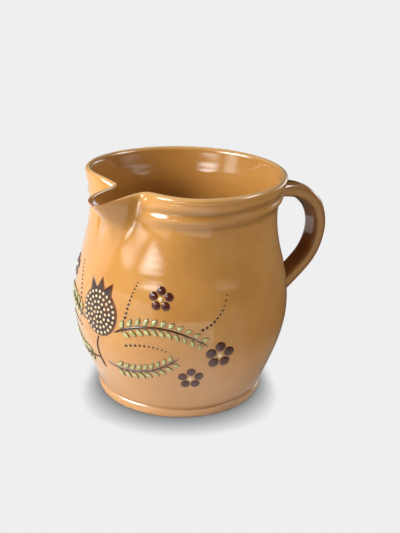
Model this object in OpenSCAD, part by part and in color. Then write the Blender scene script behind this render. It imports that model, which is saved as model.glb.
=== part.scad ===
// Hand-thrown slipware jug: a round turned pot, its rim pulled into a pouring lip,
// with a pulled strap handle and a posy trailed in coloured slips under the lip.
// Millimetres, Z up. The origin is on the pot's axis, where the foot stands.
// The handle points along +X and the lip points away from it.

/* [Turned pot] */
// Height of the rim above the table
rim_height = 170; // [162:0.5:182]
// Radius of the wall's middle at the crest of the rim
rim_radius = 74; // [71:0.5:78]
// Outer radius at the narrowest place of the neck
neck_radius = 70.6; // [67:0.2:73]
// Depth of the neck's narrowest place below the rim
neck_drop = 29; // [27:0.5:33]
// Outer radius of the belly
belly_radius = 81.2; // [78:0.2:86]
// Height of the belly's widest place
belly_height = 71.4; // [62:0.2:78]
// Outer radius of the foot
foot_radius = 63.2; // [58:0.2:68]
// Thickness of the thrown wall
wall = 4.2; // [3.4:0.1:5]
// Thickness of the floor
floor_thickness = 7; // [5:0.5:10]
// Radius of the hollow's corner between floor and wall
hollow_corner = 14; // [8:1:20]

/* [Tooling of the pot] */
// Height of the band tooled round the foot
foot_band = 7.6; // [6:0.2:10]
// How far the foot's band swells past the foot's radius
foot_swell = 0.8; // [0.3:0.1:1.2]
// Depth of the line cut over the foot's band
foot_line = 0.6; // [0.3:0.1:0.9]
// Bevel round the edge that stands on the table
foot_bevel = 0.9; // [0.5:0.1:1.4]
// Outward lean of the wall where it leaves the foot, in degrees
foot_lean = 22; // [16:1:27]
// Inward lean of the shoulder between belly and neck, in degrees
shoulder_lean = 16; // [12:1:19]
// Outward lean of the rim, in degrees
rim_lean = 11; // [6:1:15]
// Depth of the half-round bead's middle below the rim
bead_drop = 16.6; // [15:0.2:18]
// Height of the bead
bead_height = 10; // [8:0.5:11]
// Relief of the bead
bead_relief = 1.9; // [1:0.1:2.4]
// Height of the plain band above the bead
band_height = 11.6; // [10:0.2:12.4]
// Relief of the plain band
band_relief = 1.3; // [0.8:0.1:1.8]
// Height over which the rim's top is rounded
rim_round = 3; // [2:0.2:4]

/* [Pouring lip] */
// Turn of the lip from the place straight across from the handle, in degrees
lip_turn = 14; // [-20:1:20]
// How far the tip reaches past the rim
lip_reach = 9.5; // [7:0.5:13]
// How far the rim is pressed in on the lip's right, seen from the handle
right_pinch = 23.5; // [16:0.5:25]
// How far the rim is pressed in on the lip's left
left_pinch = 26.6; // [18:0.2:28]
// Half the angle that the channel takes up on the right, in degrees
right_lip_angle = 10.2; // [9:0.1:11.5]
// Half the angle that the channel takes up on the left, in degrees
left_lip_angle = 10.8; // [9:0.1:12]
// Power of the channel's right side: 2 is a round bulge, more has steeper sides
right_lip_power = 4; // [3:0.1:4.4]
// Power of the channel's left side
left_lip_power = 2; // [1.8:0.1:3]
// Angle over which the pressed rim comes back to its circle on the right, in degrees
right_pinch_angle = 38; // [34:1:44]
// Angle over which the pressed rim comes back to its circle on the left, in degrees
left_pinch_angle = 35.4; // [32:0.2:42]
// How far the tip dips below the rim
lip_dip = 4.6; // [2:0.2:7]
// Angle over which the tip dips, in degrees
dip_angle = 6.6; // [5:0.2:9]
// How far the pressed rim sags on both sides of the tip
lip_sag = 5.6; // [2:0.2:6]
// Angle over which the rim sags, in degrees
sag_angle = 19.4; // [15:0.2:26]
// Thickness that the wall is drawn out to at the tip
lip_wall = 2.8; // [2.2:0.1:3.4]
// Depth of the pulled wall below the rim
pull_depth = 57; // [52:1:60]
// Fall-off of the channel down the wall: more ends it higher up
throat_fall = 2.1; // [1.7:0.1:2.8]
// Fall-off of the pressed sides down the wall
pinch_fall = 1.8; // [1.4:0.1:2.4]

/* [Strap handle] */
// Depth of the upper joint's middle below the rim
handle_drop = 26; // [24:0.5:30]
// Height of the lower joint's middle
handle_foot = 57; // [52:0.5:64]
// Distance from the pot's axis to the strap's middle at its widest
handle_reach = 125.3; // [118:0.1:134]
// Width of the strap at the upper joint
strap_top_width = 21; // [18:0.2:25]
// Width of the strap at its middle
strap_width = 16; // [14:0.2:20]
// Width of the strap at the lower joint
strap_end_width = 18; // [15:0.2:22]
// Thickness of the strap at the upper joint
strap_top_thickness = 10; // [9:0.1:12]
// Thickness of the strap at its middle
strap_thickness = 13.2; // [11:0.1:14.5]
// Thickness of the strap at the lower joint
strap_end_thickness = 12.2; // [10:0.1:13.5]
// Power of the strap's domed back: 2 is an ellipse, more is squarer
strap_back_power = 2.5; // [2:0.1:3.4]
// Power of the strap's flat inner face
strap_face_power = 5; // [3.6:0.2:7]
// Depth of the thumb's groove along the strap's back
strap_groove = 0.7; // [0.4:0.1:1.6]

/* [Slip posy] */
// Bare wall between the foot's band and the posy
posy_lift = 27; // [16:1:34]
// Bare wall between the posy and the foot of the pulled wall
posy_drop = 2.5; // [2:0.5:12]
// Width of a trailed stem
stem_width = 1.9; // [1.2:0.1:2.6]
// Relief of a trailed stem
stem_relief = 0.7; // [0.4:0.1:1.2]
// Length of a leaf
leaf_length = 7.2; // [5:0.1:8]
// Width of a leaf
leaf_width = 3.9; // [2.6:0.1:4.2]
// Relief of a leaf
leaf_relief = 1.2; // [0.6:0.1:1.6]
// Bare wall between a leaf and its stem
leaf_gap = 0.4; // [0.2:0.1:0.8]
// Radius of the seed head
head_radius = 18; // [14:0.5:19]
// Relief of the seed head
head_relief = 0.6; // [0.4:0.1:1]
// Length of the seed head's crown
crown_length = 8; // [6:0.5:9]
// Radius of a cream dot on the seed head
pip_radius = 1.1; // [0.7:0.05:1.3]
// Relief of a small dot
pip_relief = 0.5; // [0.3:0.1:0.8]
// Radius of one petal of a rosette
petal_radius = 3.9; // [2.8:0.1:4.2]
// Relief of a petal
petal_relief = 0.8; // [0.5:0.1:1.2]
// Bare wall between the petals of a rosette
petal_gap = 0.5; // [0.3:0.1:1]
// Radius of the cream dot in a rosette
eye_radius = 2; // [1.2:0.1:2.2]
// Relief of the cream dot in a rosette
eye_relief = 1.1; // [0.8:0.1:1.3]
// Radius of the largest dot of a tendril
tendril_dot_radius = 1.15; // [0.8:0.05:1.5]
// Radius of the smallest dot of a tendril
tendril_tip_radius = 0.6; // [0.4:0.1:0.8]

/* [Hidden] */
$fn = 120;

// Fineness of the faces
band_rows = 18;
neck_rows = 6;
collar_rows = 14;
crest_rows = 3;
hollow_rows = 10;
columns = 92;
column_crowding_share = 0.62;
strap_rings = 36;
strap_sides = 20;
stem_rings = 13;
leaf_rings = 5;
slip_sides = 6;
fine_turns = 480;
ball_turns = 96;
head_turns = 144;

// Least step that keeps two curved skins from lying in one another
hair = 0.02;
// Overrun of a solid that only cuts
overrun = 5;

// Heights that the named sizes fix
neck_height = rim_height - neck_drop;
bead_middle = rim_height - bead_drop;
groove_height = rim_height - band_height;
pull_height = rim_height - pull_depth;
collar_height = bead_middle - bead_height / 2;
lip_angle = 180 + lip_turn;
posy_low = foot_band + posy_lift;
posy_high = pull_height - posy_drop;

// The shoulder's turning point, between belly and neck
shoulder_height_share = 0.51;
shoulder_radius_share = 0.5;
shoulder_height = mix(belly_height, neck_height, shoulder_height_share);
shoulder_radius = mix(neck_radius, belly_radius, shoulder_radius_share);

// Places where the wall's outline is pinned: height, outer radius and slope
foot_pin = [foot_band, foot_radius, tan(foot_lean)];
belly_pin = [belly_height, belly_radius, 0];
shoulder_pin = [shoulder_height, shoulder_radius, -tan(shoulder_lean)];
neck_pin = [neck_height, neck_radius, 0];
rim_pin = [rim_height, rim_radius + wall / 2, tan(rim_lean)];

// Basic functions
function mix(a, b, t) = a + (b - a) * t;
function power(x, n) = x <= 0 ? 0 : pow(x, n);
function signed_power(x, n) = sign(x) * power(abs(x), n);
function bump(x) = abs(x) >= 1 ? 0 : pow(cos(90 * x), 2);
function ramp(x) = x <= 0 ? 0 : x >= 1 ? 1 : x * x * (3 - 2 * x);
function unit(v) = v / norm(v);
function hermite(t, a, b, slope_a, slope_b) =
    (2 * pow(t, 3) - 3 * pow(t, 2) + 1) * a + (pow(t, 3) - 2 * pow(t, 2) + t) * slope_a
    + (3 * pow(t, 2) - 2 * pow(t, 3)) * b + (pow(t, 3) - pow(t, 2)) * slope_b;
function between(z, p, q) =
    hermite((z - p[0]) / (q[0] - p[0]), p[1], q[1], p[2] * (q[0] - p[0]), q[2] * (q[0] - p[0]));

// Outer radius of the thrown wall at a height, before its rim is tooled
function wall_radius(z) =
    z < belly_height ? between(z, foot_pin, belly_pin)
    : z < shoulder_height ? between(z, belly_pin, shoulder_pin)
    : z < neck_height ? between(z, shoulder_pin, neck_pin)
    : between(z, neck_pin, rim_pin);
function middle_radius(z) = wall_radius(z) - wall / 2;

// Relief of the bead and of the plain band above it
band_rise_share = 0.4;
function tooling(z) =
    bead_relief * bump((z - bead_middle) / (bead_height / 2))
    + band_relief * ramp((z - groove_height) / (band_height * band_rise_share));

// Half of the wall's thickness left at a height, as a share, where the crest is rounded
function crest_share(z) =
    sqrt(1 - pow(max(0, z - rim_height + rim_round) / rim_round, 2));

// How much of the lip, of its dip and of its pressed sides is felt at an angle from its middle.
// Angles on the lip's left are more than 0.
function lip_share(a) =
    a > 0 ? exp(-power(a / left_lip_angle, left_lip_power))
    : exp(-power(-a / right_lip_angle, right_lip_power));
function pinch_at(a) =
    a > 0 ? left_pinch * exp(-pow(a / left_pinch_angle, 2))
    : right_pinch * exp(-pow(a / right_pinch_angle, 2));
function lip_at(a) = lip_share(a) * (lip_reach + (a > 0 ? left_pinch : right_pinch));
function dip_at(a) = lip_dip * exp(-pow(a / dip_angle, 2)) + lip_sag * exp(-pow(a / sag_angle, 2));
function pull_share(z) = max(0, (z - pull_height) / pull_depth);
function pull(a, z) =
    lip_at(a) * power(pull_share(z), throat_fall) - pinch_at(a) * power(pull_share(z), pinch_fall);

// The tooling dies out towards the lip
left_plain_angles = [14, 38];
right_plain_angles = [34, 60];
function tooling_share(a) =
    let (plain = a > 0 ? left_plain_angles : right_plain_angles) ramp((abs(a) - plain[0]) / (plain[1] - plain[0]));

// Half of the wall's thickness, which is drawn out thinner towards the tip
thin_angle = 16;
function half_wall(a, z) =
    mix(wall, lip_wall, exp(-pow(a / thin_angle, 2)) * ramp(pull_share(z))) / 2;

// A place in the middle of the pulled wall, and one set off square to it
step_angle = 0.5;
function middle_place(a, z) = (middle_radius(z) + pull(a, z)) * [cos(a), sin(a)];
function outward(a, z) =
    let (d = middle_place(a + step_angle, z) - middle_place(a - step_angle, z)) unit([d[1], -d[0]]);
function wall_place(a, z, offset) =
    let (p = middle_place(a, z) + offset * outward(a, z))
    [p[0], p[1], z - dip_at(a) * power(pull_share(z), throat_fall)];

// Angles of the pulled wall's columns, closest together at the lip
function column_angle(i) =
    let (a = 360 * i / columns - 180) a - column_crowding_share * sin(a) * 180 / PI;
widest_column = 360 / columns * (1 + column_crowding_share);
facet_sag = rim_radius * (1 - cos(widest_column / 2));

// Heights of the pulled wall's rows, from its foot up to the rounding of the crest
round_height = rim_height - rim_round;
seat_height = pull_height - hair;
climbing_heights = concat(
    [for (i = [0:neck_rows - 1]) mix(seat_height, collar_height, i / neck_rows)],
    [for (i = [0:collar_rows]) mix(collar_height, round_height, i / collar_rows)]);
falling_heights = [for (i = [0:hollow_rows]) mix(round_height, seat_height, i / hollow_rows)];

// The wall's section at one angle: pairs of height and distance from the wall's middle
root_depth = wall;
root_share = 0.25;
function outer_offset(a, z) = half_wall(a, z) + tooling(z) * tooling_share(a);
function column_section(a) = concat(
    [[pull_height - root_depth, wall * root_share]],
    [for (z = climbing_heights) [z, outer_offset(a, z) - hair]],
    [for (i = [1:crest_rows])
        let (z = rim_height - rim_round * (1 - sin(90 * i / (crest_rows + 1))))
        [z, (outer_offset(a, z) - hair) * crest_share(z)]],
    [[rim_height, 0]],
    [for (i = [crest_rows:-1:1])
        let (z = rim_height - rim_round * (1 - sin(90 * i / (crest_rows + 1))))
        [z, -half_wall(a, z) * crest_share(z)]],
    [for (z = falling_heights)
        [z, -half_wall(a, z) + (facet_sag + hair) * (1 - ramp(pull_share(z)))]],
    [[pull_height - root_depth, -wall * root_share]]);

// Outline of the turned outside, up to the pulled wall and over its whole height
function turned_heights() = [for (i = [0:band_rows]) mix(foot_band, pull_height, i / band_rows)];
foot_swell_shares = [[0.8, 0.4], [1, 0.66]];
foot_line_shares = [0.5, 0.4];
foot_outline = concat(
    [[foot_radius - foot_bevel, 0], [foot_radius, foot_bevel]],
    [for (p = foot_swell_shares) [foot_radius + foot_swell * p[0], foot_band * p[1]]],
    [[foot_radius + foot_swell * foot_line_shares[0], foot_band - foot_line],
     [foot_radius - foot_line * foot_line_shares[0], foot_band - foot_line * foot_line_shares[1]]]);
turned_outline = concat(foot_outline, [for (z = turned_heights()) [wall_radius(z), z]]);
collar_outline = [for (z = climbing_heights) if (z > pull_height) [wall_radius(z) + tooling(z), z]];
crest_outline = [for (i = [1:crest_rows + 1])
    let (z = rim_height - rim_round * (1 - sin(90 * i / (crest_rows + 1))))
    [middle_radius(z) + (wall / 2 + tooling(z)) * crest_share(z), z]];

// Outline of the hollow up to the pulled wall
hollow_foot = floor_thickness + hollow_corner;
hollow_outline = concat(
    [[0, floor_thickness]],
    [for (i = [0:6]) [
        wall_radius(hollow_foot) - wall - hollow_corner * (1 - sin(15 * i)),
        hollow_foot - hollow_corner * cos(15 * i)]],
    [for (i = [1:band_rows])
        let (z = mix(hollow_foot, pull_height, i / band_rows)) [wall_radius(z) - wall, z]]);

// Faces of a solid whose rings of points follow one another
function skin_faces(rings, sides, closed) = [
    for (i = [0:rings - (closed ? 1 : 2)], j = [0:sides - 1])
        let (a = i * sides, b = (i + 1) % rings * sides, k = (j + 1) % sides)
        each [[a + j, b + j, b + k], [a + j, b + k, a + k]]];
function cap_faces(rings, sides) = [
    [for (j = [0:sides - 1]) j],
    [for (j = [sides - 1:-1:0]) (rings - 1) * sides + j]];

module ring_solid(rings) {
    sides = len(rings[0]);
    points = [for (ring = rings) each ring];
    polyhedron(points, skin_faces(len(rings), sides, true), convexity = 8);
}

module capped_solid(rings) {
    sides = len(rings[0]);
    points = [for (ring = rings) each ring];
    faces = concat(skin_faces(len(rings), sides, false), cap_faces(len(rings), sides));
    polyhedron(points, faces, convexity = 6);
}

// The outside of the turned pot as one solid, which what is luted or laid on it fits
module turned_form() {
    rotate_extrude($fn = fine_turns)
        polygon(concat([[0, 0]], turned_outline, collar_outline, crest_outline, [[0, rim_height]]));
}

// The same, up to the pulled wall and grown by a relief
module grown_form(relief) {
    rotate_extrude($fn = fine_turns)
        polygon(concat([[0, 0]], [for (p = turned_outline) p + [relief, 0]], [[0, pull_height]]));
}

// Body: the turned pot below, and the wall that the lip is pulled from above
module turned_part() {
    rotate_extrude()
        difference() {
            polygon(concat([[0, 0]], turned_outline, [[0, pull_height]]));
            polygon(concat(hollow_outline, [[0, pull_height]]));
        }
}

module pulled_part() {
    sections = [for (i = [0:columns - 1]) column_section(column_angle(i))];
    rows = [for (k = [0:len(sections[0]) - 1])
        [for (i = [0:columns - 1])
            wall_place(column_angle(i), sections[i][k][0], sections[i][k][1])]];
    rotate([0, 0, lip_angle])
        ring_solid(rows);
}

module body() {
    color("#c9984e")
        union() {
            turned_part();
            pulled_part();
        }
}

// Handle: the strap's middle line, as shares of its reach and of its height
strap_shares = [[-0.18, 1.06], [0.126, 1.006], [0.436, 0.991], [0.699, 0.933], [0.919, 0.8],
    [1, 0.598], [0.879, 0.368], [0.548, 0.169], [0.013, -0.071]];
strap_root = rim_radius - wall;
handle_top = rim_height - handle_drop;
strap_points = [for (p = strap_shares)
    [mix(strap_root, handle_reach, p[0]), mix(handle_foot, handle_top, p[1])]];

// A smooth curve through points, at a place counted along them
function through(points, s) =
    let (
        n = len(points),
        i = min(n - 2, floor(s)),
        t = s - i,
        a = points[max(0, i - 1)],
        b = points[i],
        c = points[i + 1],
        d = points[min(n - 1, i + 2)])
    hermite(t, b, c, (c - a) / 2, (d - b) / 2);
function strap_along(t) = through(strap_points, t * (len(strap_points) - 1));
function three_sizes(a, b, c, t) = t < 0.5 ? mix(a, b, ramp(t * 2)) : mix(b, c, ramp(t * 2 - 1));

// The strap's section is a D: a flat face towards the fingers and a domed back with a groove
strap_face_share = 0.35;
strap_groove_share = 0.5;
strap_step_share = 0.01;
function strap_ring(t) =
    let (
        p = strap_along(t),
        d = unit(strap_along(min(1, t + strap_step_share)) - strap_along(max(0, t - strap_step_share))),
        half_width = three_sizes(strap_top_width, strap_width, strap_end_width, t) / 2,
        thickness = three_sizes(strap_top_thickness, strap_thickness, strap_end_thickness, t))
    [for (j = [0:strap_sides - 1])
        let (
            angle = 360 * (j + 0.5) / strap_sides,
            back = cos(angle) < 0,
            roundness = 2 / (back ? strap_back_power : strap_face_power),
            across = half_width * signed_power(sin(angle), roundness),
            depth = thickness * (back ? 1 - strap_face_share : strap_face_share),
            groove = back ? strap_groove * bump(across / half_width / strap_groove_share) : 0,
            up = depth * signed_power(cos(angle), roundness) + groove)
        [p[0] + d[1] * up, across, p[1] - d[0] * up]];

module handle() {
    color("#a9743a")
        difference() {
            capped_solid([for (i = [0:strap_rings - 1]) strap_ring(i / (strap_rings - 1))]);
            turned_form();
        }
}

// Posy: places on the wall are an angle from the lip and a share of the posy's height.
// The wall is laid out flat to draw it, and wrapped back at the belly's radius.
function spot(place) =
    [place[0] * belly_radius * PI / 180, mix(posy_low, posy_high, place[1])];
function wrap(q, relief) =
    let (a = lip_angle + q[0] / belly_radius * 180 / PI, r = wall_radius(q[1]) + relief)
    [r * cos(a), r * sin(a), q[1]];

// The flat place that lies at a true distance and direction from another on the wall
function beside(q, v) = q + [v[0] * belly_radius / wall_radius(q[1] + v[1]), v[1]];
function bend(curve, t) =
    (1 - t) * (1 - t) * spot(curve[0]) + 2 * t * (1 - t) * spot(curve[1]) + t * t * spot(curve[2]);
function heading(curve, t) =
    unit((1 - t) * (spot(curve[1]) - spot(curve[0])) + t * (spot(curve[2]) - spot(curve[1])));
function turned(d, a) = [d[0] * cos(a) - d[1] * sin(a), d[0] * sin(a) + d[1] * cos(a)];
function mirrored(curve) = [for (p = curve) [-p[0], p[1]]];

// Stems, each as the places of its start, its bend and its end: angles and shares of height
main_stem_shares = [[0, 0], [-6, 0.18], [0, 0.37]];
arched_stem_shares = [[10.7, 0.46], [35, 0.74], [60, 0.41]];
low_stem_shares = [[3, 0.1], [28, 0], [46, 0.3]];
stem_end_share = 0.6;

// One ring of a trailed line that runs from q in direction d
function slip_ring(q, d, half_width, relief) =
    let (n = turned(d, 90))
    [for (j = [0:slip_sides - 1])
        let (angle = 360 * (j + 0.5) / slip_sides)
        wrap(beside(q, -n * half_width * sin(angle)), relief * cos(angle))];

module trailed_line(curve) {
    capped_solid([for (i = [0:stem_rings - 1])
        let (
            t = i / (stem_rings - 1),
            half_width = mix(stem_width, stem_width * stem_end_share, t) / 2,
            q = bend(curve, t))
        slip_ring(q, heading(curve, t), half_width, stem_relief / cos(180 / slip_sides))]);
}

module slip_stems() {
    color("#3a2010")
        difference() {
            union() {
                trailed_line(main_stem_shares);
                trailed_line(arched_stem_shares);
                trailed_line(mirrored(arched_stem_shares));
                trailed_line(low_stem_shares);
                trailed_line(mirrored(low_stem_shares));
            }
            grown_form(0);
        }
}

// A leaf that starts at q and points in direction d: a drop, fullest before its middle
leaf_tip_share = 0.12;
leaf_fullest_share = 0.8;
leaf_roundness_share = 0.75;
module leaf(q, d, size_share) {
    capped_solid([for (i = [0:leaf_rings - 1])
        let (
            t = i / (leaf_rings - 1),
            round_share = pow(sin(180 * pow(t, leaf_fullest_share)), leaf_roundness_share),
            swell = mix(leaf_tip_share, 1, round_share))
        slip_ring(beside(q, d * leaf_length * size_share * t), d,
            leaf_width / 2 * swell * size_share, leaf_relief * swell)]);
}

// Leaves in pairs along a stem, smaller towards its end
leaf_lean = 48;
leaf_end_share = 0.78;
module leaf_pairs(curve, first, last, pairs) {
    for (i = [0:pairs - 1], side = [-1, 1]) {
        t = mix(first, last, i / (pairs - 1));
        d = turned(heading(curve, t), side * leaf_lean);
        off = turned(heading(curve, t), side * 90) * (stem_width / 2 + leaf_gap);
        leaf(beside(bend(curve, t), off), d, mix(1, leaf_end_share, i / (pairs - 1)));
    }
}

module slip_leaves() {
    color("#aebb66")
        difference() {
            union() {
                leaf_pairs(arched_stem_shares, 0.1, 0.92, 11);
                leaf_pairs(mirrored(arched_stem_shares), 0.1, 0.92, 11);
                leaf_pairs(low_stem_shares, 0.16, 0.88, 9);
                leaf_pairs(mirrored(low_stem_shares), 0.16, 0.88, 9);
            }
            grown_form(0);
        }
}

// Turns a solid drawn along Z to stand square on the wall at a place
module on_wall(q, depth) {
    rotate([0, 0, lip_angle + q[0] / belly_radius * 180 / PI])
        translate([wall_radius(q[1]) + depth, 0, q[1]])
            rotate([0, 90, 0])
                children();
}

// Seed head: a round dark patch of slip with a crown of three points
head_place_shares = [0, 0.61];
head_place = spot(head_place_shares);
crown_lean = 25;
crown_half_angle = 14;
crown_power = 1.4;
function crown_share(a) =
    max([for (i = [-1:1]) power(1 - abs(a - i * crown_lean) / crown_half_angle, crown_power)]);
function head_edge(a) = head_radius + crown_length * crown_share(a);

module slip_seed_head() {
    color("#2c1709")
        skin_of_slip(0, head_relief)
            on_wall(head_place, -head_radius)
                linear_extrude(head_radius + overrun)
                    polygon([for (i = [0:head_turns - 1])
                        let (a = 360 * i / head_turns - 180) head_edge(a) * [-cos(a), sin(a)]]);
}

// Direction square to the wall at a height: outwards and upwards
function wall_normal(z) =
    unit([2 * wall, wall_radius(z - wall) - wall_radius(z + wall)]);

// A drop of slip: a ball sunk square to the wall until it stands proud by its relief,
// with the wall's own curve taken into its radius
module drop(q, radius, relief) {
    ball = 1 / (2 * relief / (radius * radius + relief * relief) + 1 / wall_radius(q[1]));
    centre = [wall_radius(q[1]), q[1]] + wall_normal(q[1]) * (relief - ball);
    rotate([0, 0, lip_angle + q[0] / belly_radius * 180 / PI])
        translate([centre[0], 0, centre[1]])
            sphere(ball, $fn = ball_turns);
}

// What its children, drawn along the radius, cut out of a skin of slip between two reliefs
module skin_of_slip(low, high) {
    intersection() {
        difference() {
            grown_form(high);
            grown_form(low);
        }
        union()
            children();
    }
}

// A small dot of slip, level on top because it is too small to dome
module dot(q, radius) {
    on_wall(q, -overrun)
        cylinder(h = 2 * overrun, r = radius, $fn = ball_turns);
}

// Cream pips in rings on the seed head
pip_rings = 4;
pip_pitch_share = 0.21;
pip_turn = 15;
module slip_seed_pips() {
    color("#f0dcb0")
        skin_of_slip(head_relief, head_relief + pip_relief)
            for (ring = [0:pip_rings])
                for (i = [0:max(0, ring * 6 - 1)]) {
                    angle = 360 * i / max(1, ring * 6) + ring * pip_turn;
                    far = ring * head_radius * pip_pitch_share;
                    dot(beside(head_place, far * [cos(angle), sin(angle)]), pip_radius);
                }
}

// Rosettes: five round petals about an eye, each as its angle, its share of height and its size
rosette_shares = [[36, 0.86, 0.8], [-36, 0.86, 0.8], [66.5, 0.3, 1], [-66.5, 0.3, 1],
    [52, 0.05, 0.85], [-52, 0.05, 0.85]];
function petal_circle(size_share) = (petal_radius * size_share + petal_gap / 2) / sin(36);

module slip_petals() {
    color("#5a2c1a")
        difference() {
            for (rosette = rosette_shares, i = [0:4]) {
                angle = 72 * i + 90;
                off = petal_circle(rosette[2]) * [cos(angle), sin(angle)];
                drop(beside(spot(rosette), off), petal_radius * rosette[2], petal_relief);
            }
            grown_form(0);
        }
}

module slip_eyes() {
    color("#f0dcb0")
        difference() {
            for (rosette = rosette_shares) {
                drop(spot(rosette), eye_radius * rosette[2], eye_relief);
            }
            grown_form(0);
        }
}

// Tendrils: rows of dark drops that grow smaller outwards
tendril_shares = [
    [[17.5, 0.64], [19.5, 0.85], [23, 0.98]],
    [[18, 0.36], [30, 0.43], [39, 0.36]],
    [[57, 0.58], [67, 0.66], [70, 0.88]]];
tendril_drops = 10;
module slip_tendrils() {
    color("#3a2010")
        skin_of_slip(0, pip_relief)
            for (half = tendril_shares, curve = [half, mirrored(half)], i = [0:tendril_drops - 1]) {
                t = i / (tendril_drops - 1);
                dot(bend(curve, t), mix(tendril_dot_radius, tendril_tip_radius, t));
            }
}

body();
handle();
slip_stems();
slip_leaves();
slip_seed_head();
slip_seed_pips();
slip_petals();
slip_eyes();
slip_tendrils();
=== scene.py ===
"""Looks of a hand-thrown slipware jug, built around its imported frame.

The jug is a round earthenware pot with a rim pulled into a pouring lip, a pulled strap handle,
and a posy trailed in coloured slips under the lip, all under one clear honey-coloured glaze.
Lengths in the classes are millimetres and angles are degrees, unless a name or a docstring says
otherwise, and every mesh is turned into metres as it is made.
"""

import logging
import math
from dataclasses import dataclass, field
from enum import Enum

import bpy
import numpy as np
from mathutils import Matrix, Vector


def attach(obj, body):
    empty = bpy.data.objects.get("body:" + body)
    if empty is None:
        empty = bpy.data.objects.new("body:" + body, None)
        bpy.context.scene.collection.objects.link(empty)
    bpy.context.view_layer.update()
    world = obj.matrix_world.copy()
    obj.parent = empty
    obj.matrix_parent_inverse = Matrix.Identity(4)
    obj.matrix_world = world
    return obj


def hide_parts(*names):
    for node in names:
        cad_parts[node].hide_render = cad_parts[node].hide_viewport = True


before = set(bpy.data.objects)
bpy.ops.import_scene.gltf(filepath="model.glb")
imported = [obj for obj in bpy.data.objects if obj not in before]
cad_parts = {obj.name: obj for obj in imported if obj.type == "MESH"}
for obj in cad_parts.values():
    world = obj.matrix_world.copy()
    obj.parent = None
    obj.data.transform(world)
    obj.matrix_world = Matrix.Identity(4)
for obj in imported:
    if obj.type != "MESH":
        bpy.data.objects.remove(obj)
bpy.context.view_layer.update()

LOG = logging.getLogger("jug")
MM = 0.001
ROOT = "root"
Array = np.ndarray
Socket = bpy.types.NodeSocket
Curve = tuple[tuple[float, float], ...]


# ---------------------------------------------------------------- small tools


def linear(hex_colour: str) -> tuple[float, float, float, float]:
    """Turns an sRGB hex colour into linear light, by the sRGB curve.

    Args:
        hex_colour: six hex digits with a leading hash.

    Returns:
        Red, green, blue and an alpha of 1.
    """
    raw = [int(hex_colour[i : i + 2], 16) / 255 for i in (1, 3, 5)]
    return (*[v / 12.92 if v <= 0.04045 else ((v + 0.055) / 1.055) ** 2.4 for v in raw], 1.0)


def add_node(tree: bpy.types.NodeTree, kind: str, settings: dict | None = None,
             links: dict | None = None) -> bpy.types.Node:
    """Adds one node with its settings and its links.

    Args:
        tree: the node tree that gets the node.
        kind: the node's type name.
        settings: values by input name or index, by property name, or "stops" for a ramp.
        links: output sockets by the name or index of the input that they feed.

    Returns:
        The new node.
    """
    node = tree.nodes.new(kind)
    for key, value in (settings or {}).items():
        if key == "stops":
            stops = node.color_ramp.elements
            while len(stops) < len(value):
                stops.new(0.5)
            for stop, (place, colour) in zip(stops, value):
                stop.position = place
                stop.color = colour
        elif isinstance(key, int) or key in node.inputs:
            node.inputs[key].default_value = value
        else:
            setattr(node, key, value)
    for key, socket in (links or {}).items():
        tree.links.new(socket, node.inputs[key])
    return node


def empty_tree(owner: bpy.types.ID) -> bpy.types.NodeTree:
    """Switches on the nodes of a material, a lamp or the world and clears them away.

    Args:
        owner: what the nodes belong to.

    Returns:
        Its empty node tree.
    """
    owner.use_nodes = True
    owner.node_tree.nodes.clear()
    return owner.node_tree


def set_in_scene(name: str, data: bpy.types.ID) -> bpy.types.Object:
    """Makes an object of a mesh, a lamp or a camera and links it into the scene.

    Args:
        name: the object's name.
        data: its mesh, lamp or camera.

    Returns:
        The object, unturned and at the origin.
    """
    made = bpy.data.objects.new(name, data)
    bpy.context.scene.collection.objects.link(made)
    return made


def ramp(x: Array) -> Array:
    """Smooth step: 0 below 0, 1 above 1, and 3x^2 - 2x^3 between."""
    t = np.clip(x, 0, 1)
    return t * t * (3 - 2 * t)


def bump(x: Array) -> Array:
    """Round swelling: the squared cosine of a quarter turn times x, and 0 past 1."""
    return np.where(np.abs(x) < 1, np.cos(np.pi / 2 * np.clip(x, -1, 1)) ** 2, 0.0)


def hermite(t: Array, a: float, b: float, slope_a: float, slope_b: float) -> Array:
    """Cubic between the values a and b with the given slopes at its ends."""
    return ((2 * t**3 - 3 * t**2 + 1) * a + (t**3 - 2 * t**2 + t) * slope_a
            + (3 * t**2 - 2 * t**3) * b + (t**3 - t**2) * slope_b)


def raised(wave: Array, power: Array) -> Array:
    """A sine or cosine raised to a power, with its sign kept."""
    return np.sign(wave) * np.abs(wave) ** power


def around(turns: Array) -> Array:
    """Points of a circle of radius 1 at angles in radians: their cosines and sines."""
    return np.stack([np.cos(turns), np.sin(turns)], -1)


def to_left(ways: Array) -> Array:
    """Flat directions turned a quarter turn to the left."""
    return np.stack([-ways[:, 1], ways[:, 0]], -1)


def spaced(marks: tuple[float, ...], steps: tuple[int, ...]) -> Array:
    """Numbers spaced evenly from each mark to the next, in so many steps, with the last mark."""
    parts = [np.linspace(a, b, n + 1)[:-1] for a, b, n in zip(marks[:-1], marks[1:], steps)]
    return np.concatenate([*parts, marks[-1:]])


def grid_faces(rows: int, columns: int) -> Array:
    """Quads between neighbouring rows of a grid whose columns close round.

    Args:
        rows: number of rows.
        columns: number of points in a row.

    Returns:
        An (n, 4) array of point numbers, turned so that a grid that climbs up the outside of a
        form and runs to the right along it faces outwards.
    """
    i, j = np.meshgrid(np.arange(rows - 1), np.arange(columns), indexing="ij")
    k = (j + 1) % columns
    low, high = i * columns, (i + 1) * columns
    return np.stack([low + j, low + k, high + k, high + j], -1).reshape(-1, 4)


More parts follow.
